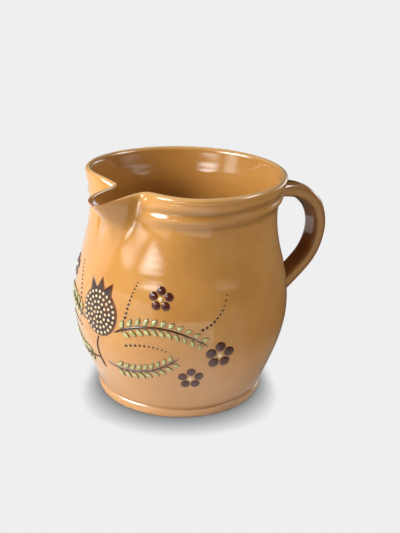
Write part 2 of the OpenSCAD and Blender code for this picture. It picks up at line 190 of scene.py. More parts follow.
def end_fans(rows: int, columns: int, inward: bool = False) -> Array:
    """Triangles that close a grid's first and last row with a point each.

    The two points come straight after the grid's own, the first row's before the last row's.

    Args:
        rows: number of rows.
        columns: number of points in a row.
        inward: whether the grid faces the other way than grid_faces turns it.

    Returns:
        An (n, 3) array of point numbers.
    """
    j = np.arange(columns)
    k = (j + 1) % columns
    if inward:
        j, k = k, j
    last = (rows - 1) * columns
    first_end = np.full(columns, rows * columns)
    return np.concatenate([np.stack([first_end, k, j], -1),
                           np.stack([last + j, last + k, first_end + 1], -1)])


@dataclass
class Skin:
    """A closed surface: its points, its quads, its triangles and values carried by its points."""

    points: Array
    quads: Array
    triangles: Array
    values: dict[str, Array] = field(default_factory=dict)

    @classmethod
    def closed(cls, grid: Array, ends: Array, values: dict[str, Array]) -> "Skin":
        """Closes a grid of points, whose columns run round, with one point at either end.

        Args:
            grid: a (rows, columns, 3) array of points.
            ends: the points that close the first and the last row.
            values: values for the grid's points and the two ends, by name.

        Returns:
            The surface.
        """
        rows, columns = grid.shape[:2]
        return cls(np.concatenate([grid.reshape(-1, 3), ends]), grid_faces(rows, columns),
                   end_fans(rows, columns), values)

    def mesh(self, name: str) -> bpy.types.Mesh:
        """Makes the Blender mesh, in metres, with smooth faces.

        Args:
            name: the mesh's name.

        Returns:
            The mesh.
        """
        data = bpy.data.meshes.new(name)
        corners = np.concatenate([self.quads.ravel(), self.triangles.ravel()]).astype(np.int32)
        sizes = np.concatenate([np.full(len(self.quads), 4), np.full(len(self.triangles), 3)])
        starts = np.concatenate([[0], np.cumsum(sizes)[:-1]]).astype(np.int32)
        data.vertices.add(len(self.points))
        data.vertices.foreach_set("co", (self.points * MM).astype(np.float32).ravel())
        data.loops.add(len(corners))
        data.loops.foreach_set("vertex_index", corners)
        data.polygons.add(len(sizes))
        data.polygons.foreach_set("loop_start", starts)
        data.polygons.foreach_set("use_smooth", np.ones(len(sizes), dtype=bool))
        for label, value in self.values.items():
            layer = data.attributes.new(label, "FLOAT", "POINT")
            layer.data.foreach_set("value", value.astype(np.float32).ravel())
        data.update(calc_edges=True)
        data.validate()
        return data


def join_skins(skins: list[Skin]) -> Skin:
    """Puts several closed surfaces into one.

    Args:
        skins: the surfaces, each with the values that the first one carries.

    Returns:
        One surface of them all.
    """
    starts = np.cumsum([0] + [len(s.points) for s in skins[:-1]])
    return Skin(
        np.concatenate([s.points for s in skins]),
        np.concatenate([s.quads + k for s, k in zip(skins, starts)]),
        np.concatenate([s.triangles + k for s, k in zip(skins, starts)]),
        {label: np.concatenate([s.values[label] for s in skins]) for label in skins[0].values},
    )


def place_piece(name: str, skin: Skin, material: bpy.types.Material, node: str) -> bpy.types.Object:
    """Puts a surface into the scene, in place of one node of the frame.

    Args:
        name: the piece's name.
        skin: its surface.
        material: its finish.
        node: the frame's node that it stands for.

    Returns:
        The new object.
    """
    piece = set_in_scene(name, skin.mesh(name))
    piece.data.materials.append(material)
    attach(piece, ROOT)
    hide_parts(node)
    LOG.info("%s: %d points, %d faces", name, len(skin.points),
             len(skin.quads) + len(skin.triangles))
    return piece


# ---------------------------------------------------------------- the thrown pot


@dataclass(frozen=True)
class LipSide:
    """How the rim is pulled out and pressed in on one side of the lip's middle.

    The rim's tooling dies out towards the lip between the two plain angles.
    """

    pinch: float
    lip_angle: float
    lip_power: float
    pinch_angle: float
    plain_angles: tuple[float, float]

    def tooled(self, angle: Array) -> Array:
        """How much of the rim's tooling is left at an angle from the lip's middle."""
        plain, whole = self.plain_angles
        return ramp((np.abs(angle) - plain) / (whole - plain))


@dataclass(frozen=True)
class FootRow:
    """One row of the tooled foot: its height, how much of the swell it has, and how far it is set
    in, with the bare clay and the pooled glaze on it, each from 0 to 1."""

    height: float
    swell: float = 0.0
    inset: float = 0.0
    bare: float = 0.0
    pool: float = 0.0


@dataclass
class ThrownPot:
    """The turned body with its tooled foot and rim and its pulled lip."""

    # The turned profile at the rim, the neck, the belly and the foot, and the wall's thickness
    rim_height: float = 170.0
    rim_radius: float = 74.0
    neck_radius: float = 70.6
    neck_drop: float = 29.0
    belly_radius: float = 81.2
    belly_height: float = 71.4
    shoulder_share: float = 0.51
    foot_radius: float = 63.2
    wall: float = 4.2
    floor_thickness: float = 7.0
    hollow_corner: float = 14.0
    # The tooled foot: its band, how far it swells out, and how its lower edge is taken off
    foot_band: float = 7.6
    foot_swell: float = 0.8
    foot_bevel: float = 0.9
    foot_edge: float = 0.6
    foot_rows: tuple[FootRow, ...] = (
        FootRow(0.0, inset=0.9, bare=1.0), FootRow(0.25, inset=0.3, bare=0.9),
        FootRow(0.9, bare=0.5), FootRow(1.8, 0.5, bare=0.1), FootRow(3.0, 0.8),
        FootRow(4.2, 0.94), FootRow(5.2, 1.0), FootRow(6.0, 0.9, pool=0.3),
        FootRow(6.6, 0.5, pool=0.9), FootRow(7.0, inset=0.3, pool=1.0),
        FootRow(7.3, inset=0.35, pool=1.0))
    # How far the wall leans from upright
    foot_lean: float = 22.0
    shoulder_lean: float = 16.0
    rim_lean: float = 11.0
    # The tooled rim: bead, plain band and fine line, by their drop from the rim and their relief
    bead_drop: float = 16.6
    bead_height: float = 10.0
    bead_relief: float = 1.9
    band_height: float = 11.6
    band_relief: float = 1.3
    band_rise: float = 0.4
    line_drop: float = 4.3
    line_depth: float = 0.35
    line_reach: float = 0.8
    rim_round: float = 3.0
    # The pulled lip: the heading of its middle, its reach, its two sides and how it is joined
    lip_turn: float = 14.0
    lip_reach: float = 9.5
    left: LipSide = LipSide(26.6, 10.8, 2.0, 35.4, (14.0, 38.0))
    right: LipSide = LipSide(23.5, 10.2, 4.0, 38.0, (34.0, 60.0))
    round_power: float = 2.0
    squareness_kept: float = 0.3
    softened_at: float = 0.5
    join_angle: float = 8.0
    lip_dip: float = 4.6
    dip_angle: float = 6.6
    lip_sag: float = 5.6
    sag_angle: float = 19.4
    lip_wall: float = 2.8
    thin_angle: float = 16.0
    pull_depth: float = 57.0
    throat_fall: float = 2.1
    pinch_fall: float = 1.8
    # Pitch and height of the throwing ridges, the spans in which they fade, and their drift
    inner_ridges: tuple[float, float] = (7.0, 0.05)
    outer_ridges: tuple[float, float] = (5.2, 0.006)
    ridges_above: tuple[float, float] = (14.0, 20.0)
    ridges_below: tuple[float, float] = (6.0, 12.0)
    ridges_drift: tuple[float, float] = (0.6, 9.0)
    floor_spiral: tuple[float, float, float] = (0.25, 1.6, 6.0)
    # Where the glaze has pooled, a place and a reach each: over the band's lower edge and under the
    # bead's middle; where painted shade darkens the fold beside the lip, by angle and by height,
    # and how dark it is; and how thick the glaze lies there and elsewhere
    groove_pool: tuple[float, float] = (0.2, 3.4)
    bead_pool: tuple[float, float] = (5.6, 3.4)
    bead_pooled: float = 0.8
    fold_shade_angles: tuple[float, float] = (17.0, 13.0)
    fold_shade_heights: tuple[float, float] = (154.0, 18.0)
    fold_shade_strength: float = 0.9
    slope_pooled: float = 0.35
    floor_pooled: float = 0.4
    foot_pool_reach: float = 3.0
    edge_power: float = 0.7
    worn_angle: float = 9.5
    # The grid: its columns, how they crowd at the lip, and the steps between its marked rows
    columns: int = 460
    crowding: float = 0.45
    under_rows: int = 6
    crest_steps: int = 8
    tooled_from: float = 12.0
    outer_steps: tuple[int, int, int] = (85, 27, 43)
    inner_steps: tuple[int, int] = (39, 33)
    corner_rows: int = 12
    floor_rows: int = 20

    def __post_init__(self) -> None:
        """Works out the heights that the named sizes fix, and the profile's pins.

        A pin is a height, the outer radius there and the slope of the wall there.
        """
        self.neck_height = self.rim_height - self.neck_drop
        self.pull_height = self.rim_height - self.pull_depth
        self.bead_middle = self.rim_height - self.bead_drop
        self.groove_height = self.rim_height - self.band_height
        self.brim_height = self.rim_height - self.rim_round
        self.corner_height = self.floor_thickness + self.hollow_corner
        self.lip_angle = 180 + self.lip_turn
        rise = self.shoulder_share * (self.neck_height - self.belly_height)
        foot, shoulder, rim = (math.tan(math.radians(lean)) for lean in
                               (self.foot_lean, self.shoulder_lean, self.rim_lean))
        self.pins = [
            (self.foot_band, self.foot_radius, foot),
            (self.belly_height, self.belly_radius, 0.0),
            (self.belly_height + rise, (self.neck_radius + self.belly_radius) / 2, -shoulder),
            (self.neck_height, self.neck_radius, 0.0),
            (self.rim_height, self.rim_radius + self.wall / 2, rim),
        ]

    def wall_radius(self, z: Array) -> Array:
        """Outer radius of the untooled wall: cubics between foot, belly, shoulder, neck and rim.

        Args:
            z: heights.

        Returns:
            The radii. The first and the last cubic run on past their pins.
        """
        z = radius = np.asarray(z, dtype=float)
        for k, (low, high) in enumerate(zip(self.pins[:-1], self.pins[1:])):
            width = high[0] - low[0]
            part = hermite((z - low[0]) / width, low[1], high[1], low[2] * width, high[2] * width)
            radius = np.where(z >= low[0], part, radius) if k else part
        return radius

    def tooling(self, z: Array) -> Array:
        """Relief of the half-round bead and of the plain band with its fine line above it.

        The bead is a bump, the band a smooth step and the line a small bump cut in.

        Args:
            z: heights.

        Returns:
            The relief, outwards.
        """
        bead = self.bead_relief * bump((z - self.bead_middle) / (self.bead_height / 2))
        rise = self.band_height * self.band_rise
        band = self.band_relief * ramp((z - self.groove_height) / rise)
        line = self.line_depth * bump((z - self.rim_height + self.line_drop) / self.line_reach)
        return bead + band - line

    def pull_share(self, z: Array) -> Array:
        """How much of the pull on the rim is felt at a height, from 0 at its foot to 1."""
        return np.maximum(0, (z - self.pull_height) / self.pull_depth)

    def side_pull(self, side: LipSide, angle: Array, share: Array) -> Array:
        """The pull by one side's sizes: a bell for the channel less a wide bell for the pinch.

        Both bells fade towards the pull's foot by a power of the share. The channel's bell is as
        square as the side says at the rim, softens down to half of the pull and stays so below.

        Args:
            side: the side's sizes.
            angle: degrees from the lip's middle.
            share: how much of the pull is felt.

        Returns:
            The distance that the wall is pulled out.
        """
        upper = ramp((share - self.softened_at) / (1 - self.softened_at))
        kept = self.squareness_kept + (1 - self.squareness_kept) * upper
        power = self.round_power + (side.lip_power - self.round_power) * kept
        lip = np.exp(-(np.abs(angle) / side.lip_angle) ** power)
        pinch = np.exp(-(angle / side.pinch_angle) ** 2)
        return ((self.lip_reach + side.pinch) * lip * share**self.throat_fall
                - side.pinch * pinch * share**self.pinch_fall)

    def pull(self, angle: Array, z: Array) -> Array:
        """How far the wall is pulled out: the right side's pull, run smoothly into the left's.

        Args:
            angle: degrees from the lip's middle, to the left.
            z: heights.

        Returns:
            The distance, outwards.
        """
        share = self.pull_share(z)
        left = ramp(angle / self.join_angle + 0.5)
        return (left * self.side_pull(self.left, angle, share)
                + (1 - left) * self.side_pull(self.right, angle, share))

    def tooling_share(self, angle: Array) -> Array:
        """How much of the rim's tooling is left at an angle: it dies out towards the lip."""
        return np.where(angle > 0, self.left.tooled(angle), self.right.tooled(angle))

    def half_wall(self, angle: Array, z: Array) -> Array:
        """Half of the wall's thickness, drawn out thinner towards the tip by a bell."""
        thin = np.exp(-(angle / self.thin_angle) ** 2) * ramp(self.pull_share(z))
        return (self.wall + (self.lip_wall - self.wall) * thin) / 2

    def middle(self, angle: Array, z: Array) -> Array:
        """Plan place of the wall's middle: the radius plus the pull, turned to the angle."""
        radius = self.wall_radius(z) - self.wall / 2 + self.pull(angle, z)
        return radius[..., None] * around(np.radians(angle + self.lip_angle))

    def place(self, angle: Array, z: Array, offset: Array) -> Array:
        """Places set off square to the wall's middle, and dipped where the lip dips.

        The wall's direction is taken from its middle at a small step to each side.

        Args:
            angle: degrees from the lip's middle.
            z: height before the dip.
            offset: distance from the wall's middle, outwards.

        Returns:
            Points in millimetres.
        """
        step = 0.25
        along = self.middle(angle + step, z) - self.middle(angle - step, z)
        along /= np.linalg.norm(along, axis=-1, keepdims=True)
        outwards = np.stack([along[..., 1], -along[..., 0]], -1)
        plan = self.middle(angle, z) + offset[..., None] * outwards
        dip = (self.lip_dip * np.exp(-(angle / self.dip_angle) ** 2)
               + self.lip_sag * np.exp(-(angle / self.sag_angle) ** 2))
        height = z - dip * self.pull_share(z) ** self.throat_fall
        return np.concatenate([plan, height[..., None]], -1)

    def throwing_ridges(self, z: Array, angle: Array, ridges: tuple[float, float]) -> Array:
        """Low spiral ridges that the fingers leave: a sine of height and turn.

        They fade in above the hollow's corner, fade out under the rim, and drift up and down.

        Args:
            z: heights.
            angle: degrees from the lip's middle.
            ridges: their pitch and their height.

        Returns:
            The relief, outwards.
        """
        pitch, height = ridges
        (low, low_span), (high, high_span) = self.ridges_above, self.ridges_below
        drift, length = self.ridges_drift
        fade = ramp((z - low) / low_span) * ramp((self.rim_height - high - z) / high_span)
        turn = 2 * np.pi * z / pitch + np.radians(angle) + drift * np.sin(z / length)
        return height * fade * np.sin(turn)

    def column_angles(self) -> Array:
        """Angles of the columns, closest together at the lip by a sine term."""
        a = 360 * np.arange(self.columns) / self.columns - 180
        return a - self.crowding * np.sin(np.radians(a)) * 180 / np.pi

    def circles(self, radii: Array, heights: Array) -> Array:
        """Rows of plain circles about the axis.

        Args:
            radii: the radius of each row.
            heights: the height of each row.

        Returns:
            The points, a row for each circle and a column for each angle.
        """
        ring = around(np.radians(self.column_angles() + self.lip_angle))
        return np.stack([radii[:, None] * ring[:, 0], radii[:, None] * ring[:, 1],
                         np.repeat(heights[:, None], len(ring), 1)], -1)

    def wall_rows(self) -> tuple[Array, Array]:
        """Rows of the wall: up the outside, over the crest and down the inside.

        Returns:
            The height of each row, and 1 for a row of the outside or -1 for one of the inside.
        """
        turn = np.linspace(0, np.pi / 2, self.crest_steps + 1)[1:]
        crest = self.rim_height - self.rim_round * (1 - np.sin(turn))
        outside = spaced((self.foot_band, self.pull_height, self.groove_height - self.tooled_from,
                          self.brim_height), self.outer_steps)
        inside = spaced((self.brim_height, self.pull_height, self.corner_height), self.inner_steps)
        heights = np.concatenate([outside, crest, crest[:-1][::-1], inside])
        out = len(outside) + len(crest)
        return heights, np.repeat([1.0, -1.0], [out, len(heights) - out])

    def crest_share(self, z: Array) -> Array:
        """How much of the wall's thickness is left at a height: a quarter circle at the rim."""
        over = np.maximum(0, z - self.rim_height + self.rim_round) / self.rim_round
        return np.sqrt(np.maximum(0, 1 - over ** 2))

    def floor_circles(self) -> tuple[Array, Array]:
        """The hollow's round corner, and its floor with a low spiral.

        The corner is a quarter circle. The spiral is a sine of the radius, which fades in from
        the corner.

        Returns:
            The radius and the height of each row.
        """
        corner = np.linspace(0, np.pi / 2, self.corner_rows + 1)[1:]
        inner = float(self.wall_radius(self.corner_height)) - self.wall
        flat = inner - self.hollow_corner
        radii = flat * np.linspace(1, 0, self.floor_rows + 2)[1:-1]
        height, length, span = self.floor_spiral
        spiral = height * np.sin(radii / length) * ramp((flat - radii) / span)
        return (np.append(inner - self.hollow_corner * (1 - np.cos(corner)), radii),
                np.append(self.corner_height - self.hollow_corner * np.sin(corner),
                          self.floor_thickness + spiral))

    def spread(self, walls: Array, under: float = 0.0, floor: float = 0.0,
               foot: list[float] | None = None) -> Array:
        """One value for each of the surface's points, in the order of its rows.

        Args:
            walls: the values of the wall's rows.
            under: the value of the underside.
            floor: the value of the hollow's corner and floor.
            foot: a value for each of the foot's rows, if they are not all 0.

        Returns:
            The values, with those of the two middle points at the end.
        """
        rows = foot or [0.0] * len(self.foot_rows)
        flat = (self.corner_rows + self.floor_rows) * self.columns
        return np.concatenate([np.full(self.under_rows * self.columns, under),
                               np.repeat(rows, self.columns), walls.ravel(),
                               np.full(flat, floor), [under, floor]])

    def pooled_glaze_and_fold_shade(self, angle: Array, z: Array) -> Array:
        """How thick the glaze lies on the outside, with painted shade in the lip's fold, from 0 to
        1.

        It has run together under the band and under the bead, each a bump about its place, and it
        lies thicker where the tooling is steep. A bump of painted shade is added in the fold beside
        the lip.

        Args:
            angle: degrees from the lip's middle, a row for each height.
            z: heights, a row for each.

        Returns:
            The thickness, with the painted shade in the fold.
        """
        heights = z[:, 0]
        rise = np.abs(np.gradient(self.tooling(heights))
                      / np.maximum(0.2, np.abs(np.gradient(heights))))
        (groove, groove_reach), (bead, bead_reach) = self.groove_pool, self.bead_pool
        hollow = (bump((z - self.groove_height - groove) / groove_reach)
                  + self.bead_pooled * bump((z - self.bead_middle + bead) / bead_reach))
        tooled = self.tooling_share(angle)
        pool = hollow * tooled + self.slope_pooled * rise[:, None] * tooled
        # Painted shade: a bump that darkens the fold beside the lip
        fold_shade_mask = (bump((angle - self.fold_shade_angles[0]) / self.fold_shade_angles[1])
                * bump((z - self.fold_shade_heights[0]) / self.fold_shade_heights[1]))
        return np.clip(pool + self.fold_shade_strength * fold_shade_mask, 0, 1)

    def skin(self) -> Skin:
        """The pot's whole surface as one grid of a section carried round the axis.

        Each row is a height and a side of the wall. The rows run from the middle of the underside
        out to the foot, up the outside, over the crest, down the inside and over the floor.

        Returns:
            The closed surface, with values for the crest, the grooves with the painted shade in the
            lip's fold, the inside, the worn tip and the bare foot.
        """
        shares = np.linspace(0, 1, self.under_rows + 1)[1:]
        under = self.circles(shares * (self.foot_radius - self.foot_bevel - self.foot_edge),
                             np.zeros(self.under_rows))
        foot = self.circles(np.array([self.foot_radius + row.swell * self.foot_swell - row.inset
                                      for row in self.foot_rows]),
                            np.array([row.height for row in self.foot_rows]))
        heights, sides = self.wall_rows()
        angle, z = np.meshgrid(self.column_angles(), heights)
        outside = np.repeat(sides[:, None] > 0, self.columns, 1)
        side = np.where(outside, 1.0, -1.0)
        relief = np.where(outside, self.tooling(z) * self.tooling_share(angle)
                          + self.throwing_ridges(z, angle, self.outer_ridges),
                          self.throwing_ridges(z, angle, self.inner_ridges))
        crest = self.crest_share(z)
        walls = self.place(angle, z, side * (self.half_wall(angle, z) + relief) * crest)
        floor = self.circles(*self.floor_circles())

        # Pale thin glaze on the crest, which also carries a painted highlight
        pale_edge_and_highlight = np.where(z > self.brim_height, 1 - crest, 0) ** self.edge_power
        foot_pool = bump((z - self.foot_band) / self.foot_pool_reach)
        # Pooled glaze, with the painted shade in the lip's fold
        pool = np.where(outside, self.pooled_glaze_and_fold_shade(angle, z) + foot_pool, 0)
        values = {
            "rim": self.spread(pale_edge_and_highlight),
            "pool": self.spread(pool, floor=self.floor_pooled,
                                foot=[row.pool for row in self.foot_rows]),
            "worn": self.spread(pale_edge_and_highlight * np.exp(-(angle / self.worn_angle) ** 4)),
            # The inside, which the glaze darkens as painted shade
            "inside": self.spread(np.where(outside, 0.0, 1.0), floor=1.0),
            "bare": self.spread(np.zeros_like(z), under=1.0,
                                foot=[row.bare for row in self.foot_rows]),
        }
        return Skin.closed(np.concatenate([under, foot, walls, floor]),
                           np.array([[0, 0, 0], [0, 0, self.floor_thickness]]), values)

    def build(self, material: bpy.types.Material) -> bpy.types.Object:
        """Makes the pot and puts it in place of the frame's body."""
        return place_piece("thrown_pot", self.skin(), material, "body")


# ---------------------------------------------------------------- the strap handle


@dataclass
class StrapHandle:
    """The pulled strap, luted under the rim and on the belly."""

    pot: ThrownPot
    drop: float = 26.0
    foot: float = 57.0
    reach: float = 125.3
    widths: tuple[float, float, float] = (21.0, 16.0, 18.0)
    thicknesses: tuple[float, float, float] = (10.0, 13.2, 12.2)
    back_power: float = 2.5
    face_power: float = 5.0
    face_share: float = 0.35
    groove: float = 0.7
    luting: float = 1.7
    luting_reach: float = 4.5
    shares: Curve = (
        (-0.18, 1.06), (0.126, 1.006), (0.436, 0.991), (0.699, 0.933), (0.919, 0.8),
        (1, 0.598), (0.879, 0.368), (0.548, 0.169), (0.013, -0.071))
    # Drag lines that the wet hand leaves: their depth, number and sway
    drag_depth: float = 0.12
    drag_lines: float = 17.0
    drag_sway: tuple[float, float] = (2.2, 5.0)
    # Where the glaze is thin on the arrises and thick along the seam and the groove, and the
    # painted shade on the flat face, darkest in its middle
    arris_angle: float = 16.0
    seam_reach: float = 2.2
    groove_pooled: tuple[float, float] = (0.35, 1.3)
    face_shade: tuple[float, float] = (0.9, 0.3)
    arris_thinned: float = 0.5
    rings: int = 240
    sides: int = 88

    def along(self, t: Array) -> Array:
        """The strap's middle line: cubics through points given as shares of reach and height.

        The slope at a point is half of the step between its neighbours.

        Args:
            t: shares of the way along the strap, from the rim.

        Returns:
            The distance from the axis and the height at each.
        """
        root = self.pot.rim_radius - self.pot.wall
        top = self.pot.rim_height - self.drop
        points = np.array([[root + (self.reach - root) * x, self.foot + (top - self.foot) * y]
                           for x, y in self.shares])
        n = len(points)
        s = np.clip(t, 0, 1) * (n - 1)
        i = np.minimum(n - 2, np.floor(s).astype(int))
        u = (s - i)[:, None]
        a, b = points[np.maximum(0, i - 1)], points[i]
        c, d = points[i + 1], points[np.minimum(n - 1, i + 2)]
        return hermite(u, b, c, (c - a) / 2, (d - b) / 2)

    def sized(self, sizes: tuple[float, float, float], t: Array) -> Array:
        """A size that runs smoothly through its values at the top, the middle and the end."""
        a, b, c = sizes
        return np.where(t < 0.5, a + (b - a) * ramp(t * 2), b + (c - b) * ramp(t * 2 - 1))

    def clearance(self, points: Array) -> Array:
        """How far points stand off the pot's tooled wall."""
        wall = self.pot.wall_radius(points[..., 2]) + self.pot.tooling(points[..., 2])
        return np.hypot(points[..., 0], points[..., 1]) - wall

    def set_on_wall(self, points: Array, middles: Array) -> Array:
        """Spreads the strap where it is smoothed on to the wall, and ends it inside the wall.

        A point nearer to the wall than the luting's reach moves away from the strap's middle by
        the luting times the square of how near it is. A point deeper than half of the wall's
        thickness is brought out to that depth.

        Args:
            points: rings of points, in millimetres.
            middles: the middle of each ring.

        Returns:
            The moved points.
        """
        near = np.clip(1 - self.clearance(points) / self.luting_reach, 0, 1)
        spread = self.luting * near ** 2
        way = points - middles
        moved = points + way / np.linalg.norm(way, axis=-1, keepdims=True) * spread[..., None]
        radius = np.hypot(moved[..., 0], moved[..., 1])
        depth = self.pot.wall_radius(moved[..., 2]) - self.pot.wall / 2
        moved[..., :2] *= (np.maximum(radius, depth) / radius)[..., None]
        return moved

    def glaze_values(self, points: Array, angle: Array, share: Array) -> dict[str, Array]:
        """How thin the glaze is on the strap's arrises, with a painted highlight there, and how
        thick elsewhere, with painted shade on its flat face, from 0 to 1.

        Args:
            points: rings of points, in millimetres.
            angle: angles round the section, in radians.
            share: how far across the strap each of them is, from -1 to 1.

        Returns:
            The values by name, with one for each of the two end points.
        """
        arris = np.exp(-((np.degrees(angle) % 180 - 90) / self.arris_angle) ** 2)
        seam = np.exp(-(np.maximum(0, self.clearance(points)) / self.seam_reach) ** 2)
        (groove, reach), (face_shade_most, fall) = self.groove_pooled, self.face_shade
        # Thicker glaze in the back's groove, and painted shade on the flat face
        pool = np.where(np.cos(angle) < 0, groove * bump(share * reach),
                        face_shade_most - fall * np.abs(share))
        pool = pool * (1 - self.arris_thinned * arris)
        # Pale thin glaze on the arrises, which also carries a painted highlight
        pale_edge_and_highlight = np.repeat(arris[None], len(points), 0) * (1 - seam)
        return {"rim": np.append(pale_edge_and_highlight.ravel(), [0, 0]),
                "pool": np.append(np.maximum(pool[None], seam).ravel(), [0, 0])}

    def skin(self) -> Skin:
        """A D-shaped section carried along the middle line: a flat face and a domed, grooved back.

        Across and up, the section is a sine and a cosine raised to two over the power of its side.
        Fine drag lines, a sine of the place across, are laid on the back.

        Returns:
            The closed surface, with values for its arrises, and for how thick the glaze lies with
            painted shade on its flat face.
        """
        step = 0.01
        t = np.linspace(0, 1, self.rings)
        p = self.along(t)
        d = self.along(np.minimum(1, t + step)) - self.along(np.maximum(0, t - step))
        d /= np.linalg.norm(d, axis=1, keepdims=True)
        angle = 2 * np.pi * (np.arange(self.sides) + 0.5) / self.sides
        back = np.cos(angle) < 0
        roundness = 2 / np.where(back, self.back_power, self.face_power)
        share = raised(np.sin(angle), roundness)
        across = self.sized(self.widths, t)[:, None] / 2 * share
        depth = self.sized(self.thicknesses, t)[:, None] * np.where(back, 1 - self.face_share,
                                                                    self.face_share)
        sway, length = self.drag_sway
        wave = np.sin(self.drag_lines * share + sway * np.sin(length * t[:, None]))
        drag = self.drag_depth * wave * (1 - share**2) * back
        up = (depth * raised(np.cos(angle), roundness)
              + np.where(back, self.groove * bump(share * 2), 0) + drag)
        points = np.stack([p[:, :1] + d[:, 1:] * up, across, p[:, 1:] - d[:, :1] * up], -1)
        middles = np.stack([p[:, 0], np.zeros(len(p)), p[:, 1]], -1)[:, None]
        points = self.set_on_wall(points, middles)
        return Skin.closed(points, points[[0, -1]].mean(1),
                           self.glaze_values(points, angle, share))

    def build(self, material: bpy.types.Material) -> bpy.types.Object:
        """Makes the strap and puts it in place of the frame's handle."""
        return place_piece("strap_handle", self.skin(), material, "handle")


# ---------------------------------------------------------------- the trailed posy


@dataclass(frozen=True)
class LeafRun:
    """Leaves in pairs along a stem: the shares of it that they start and end at, and the pairs."""

    first: float
    last: float
    pairs: int


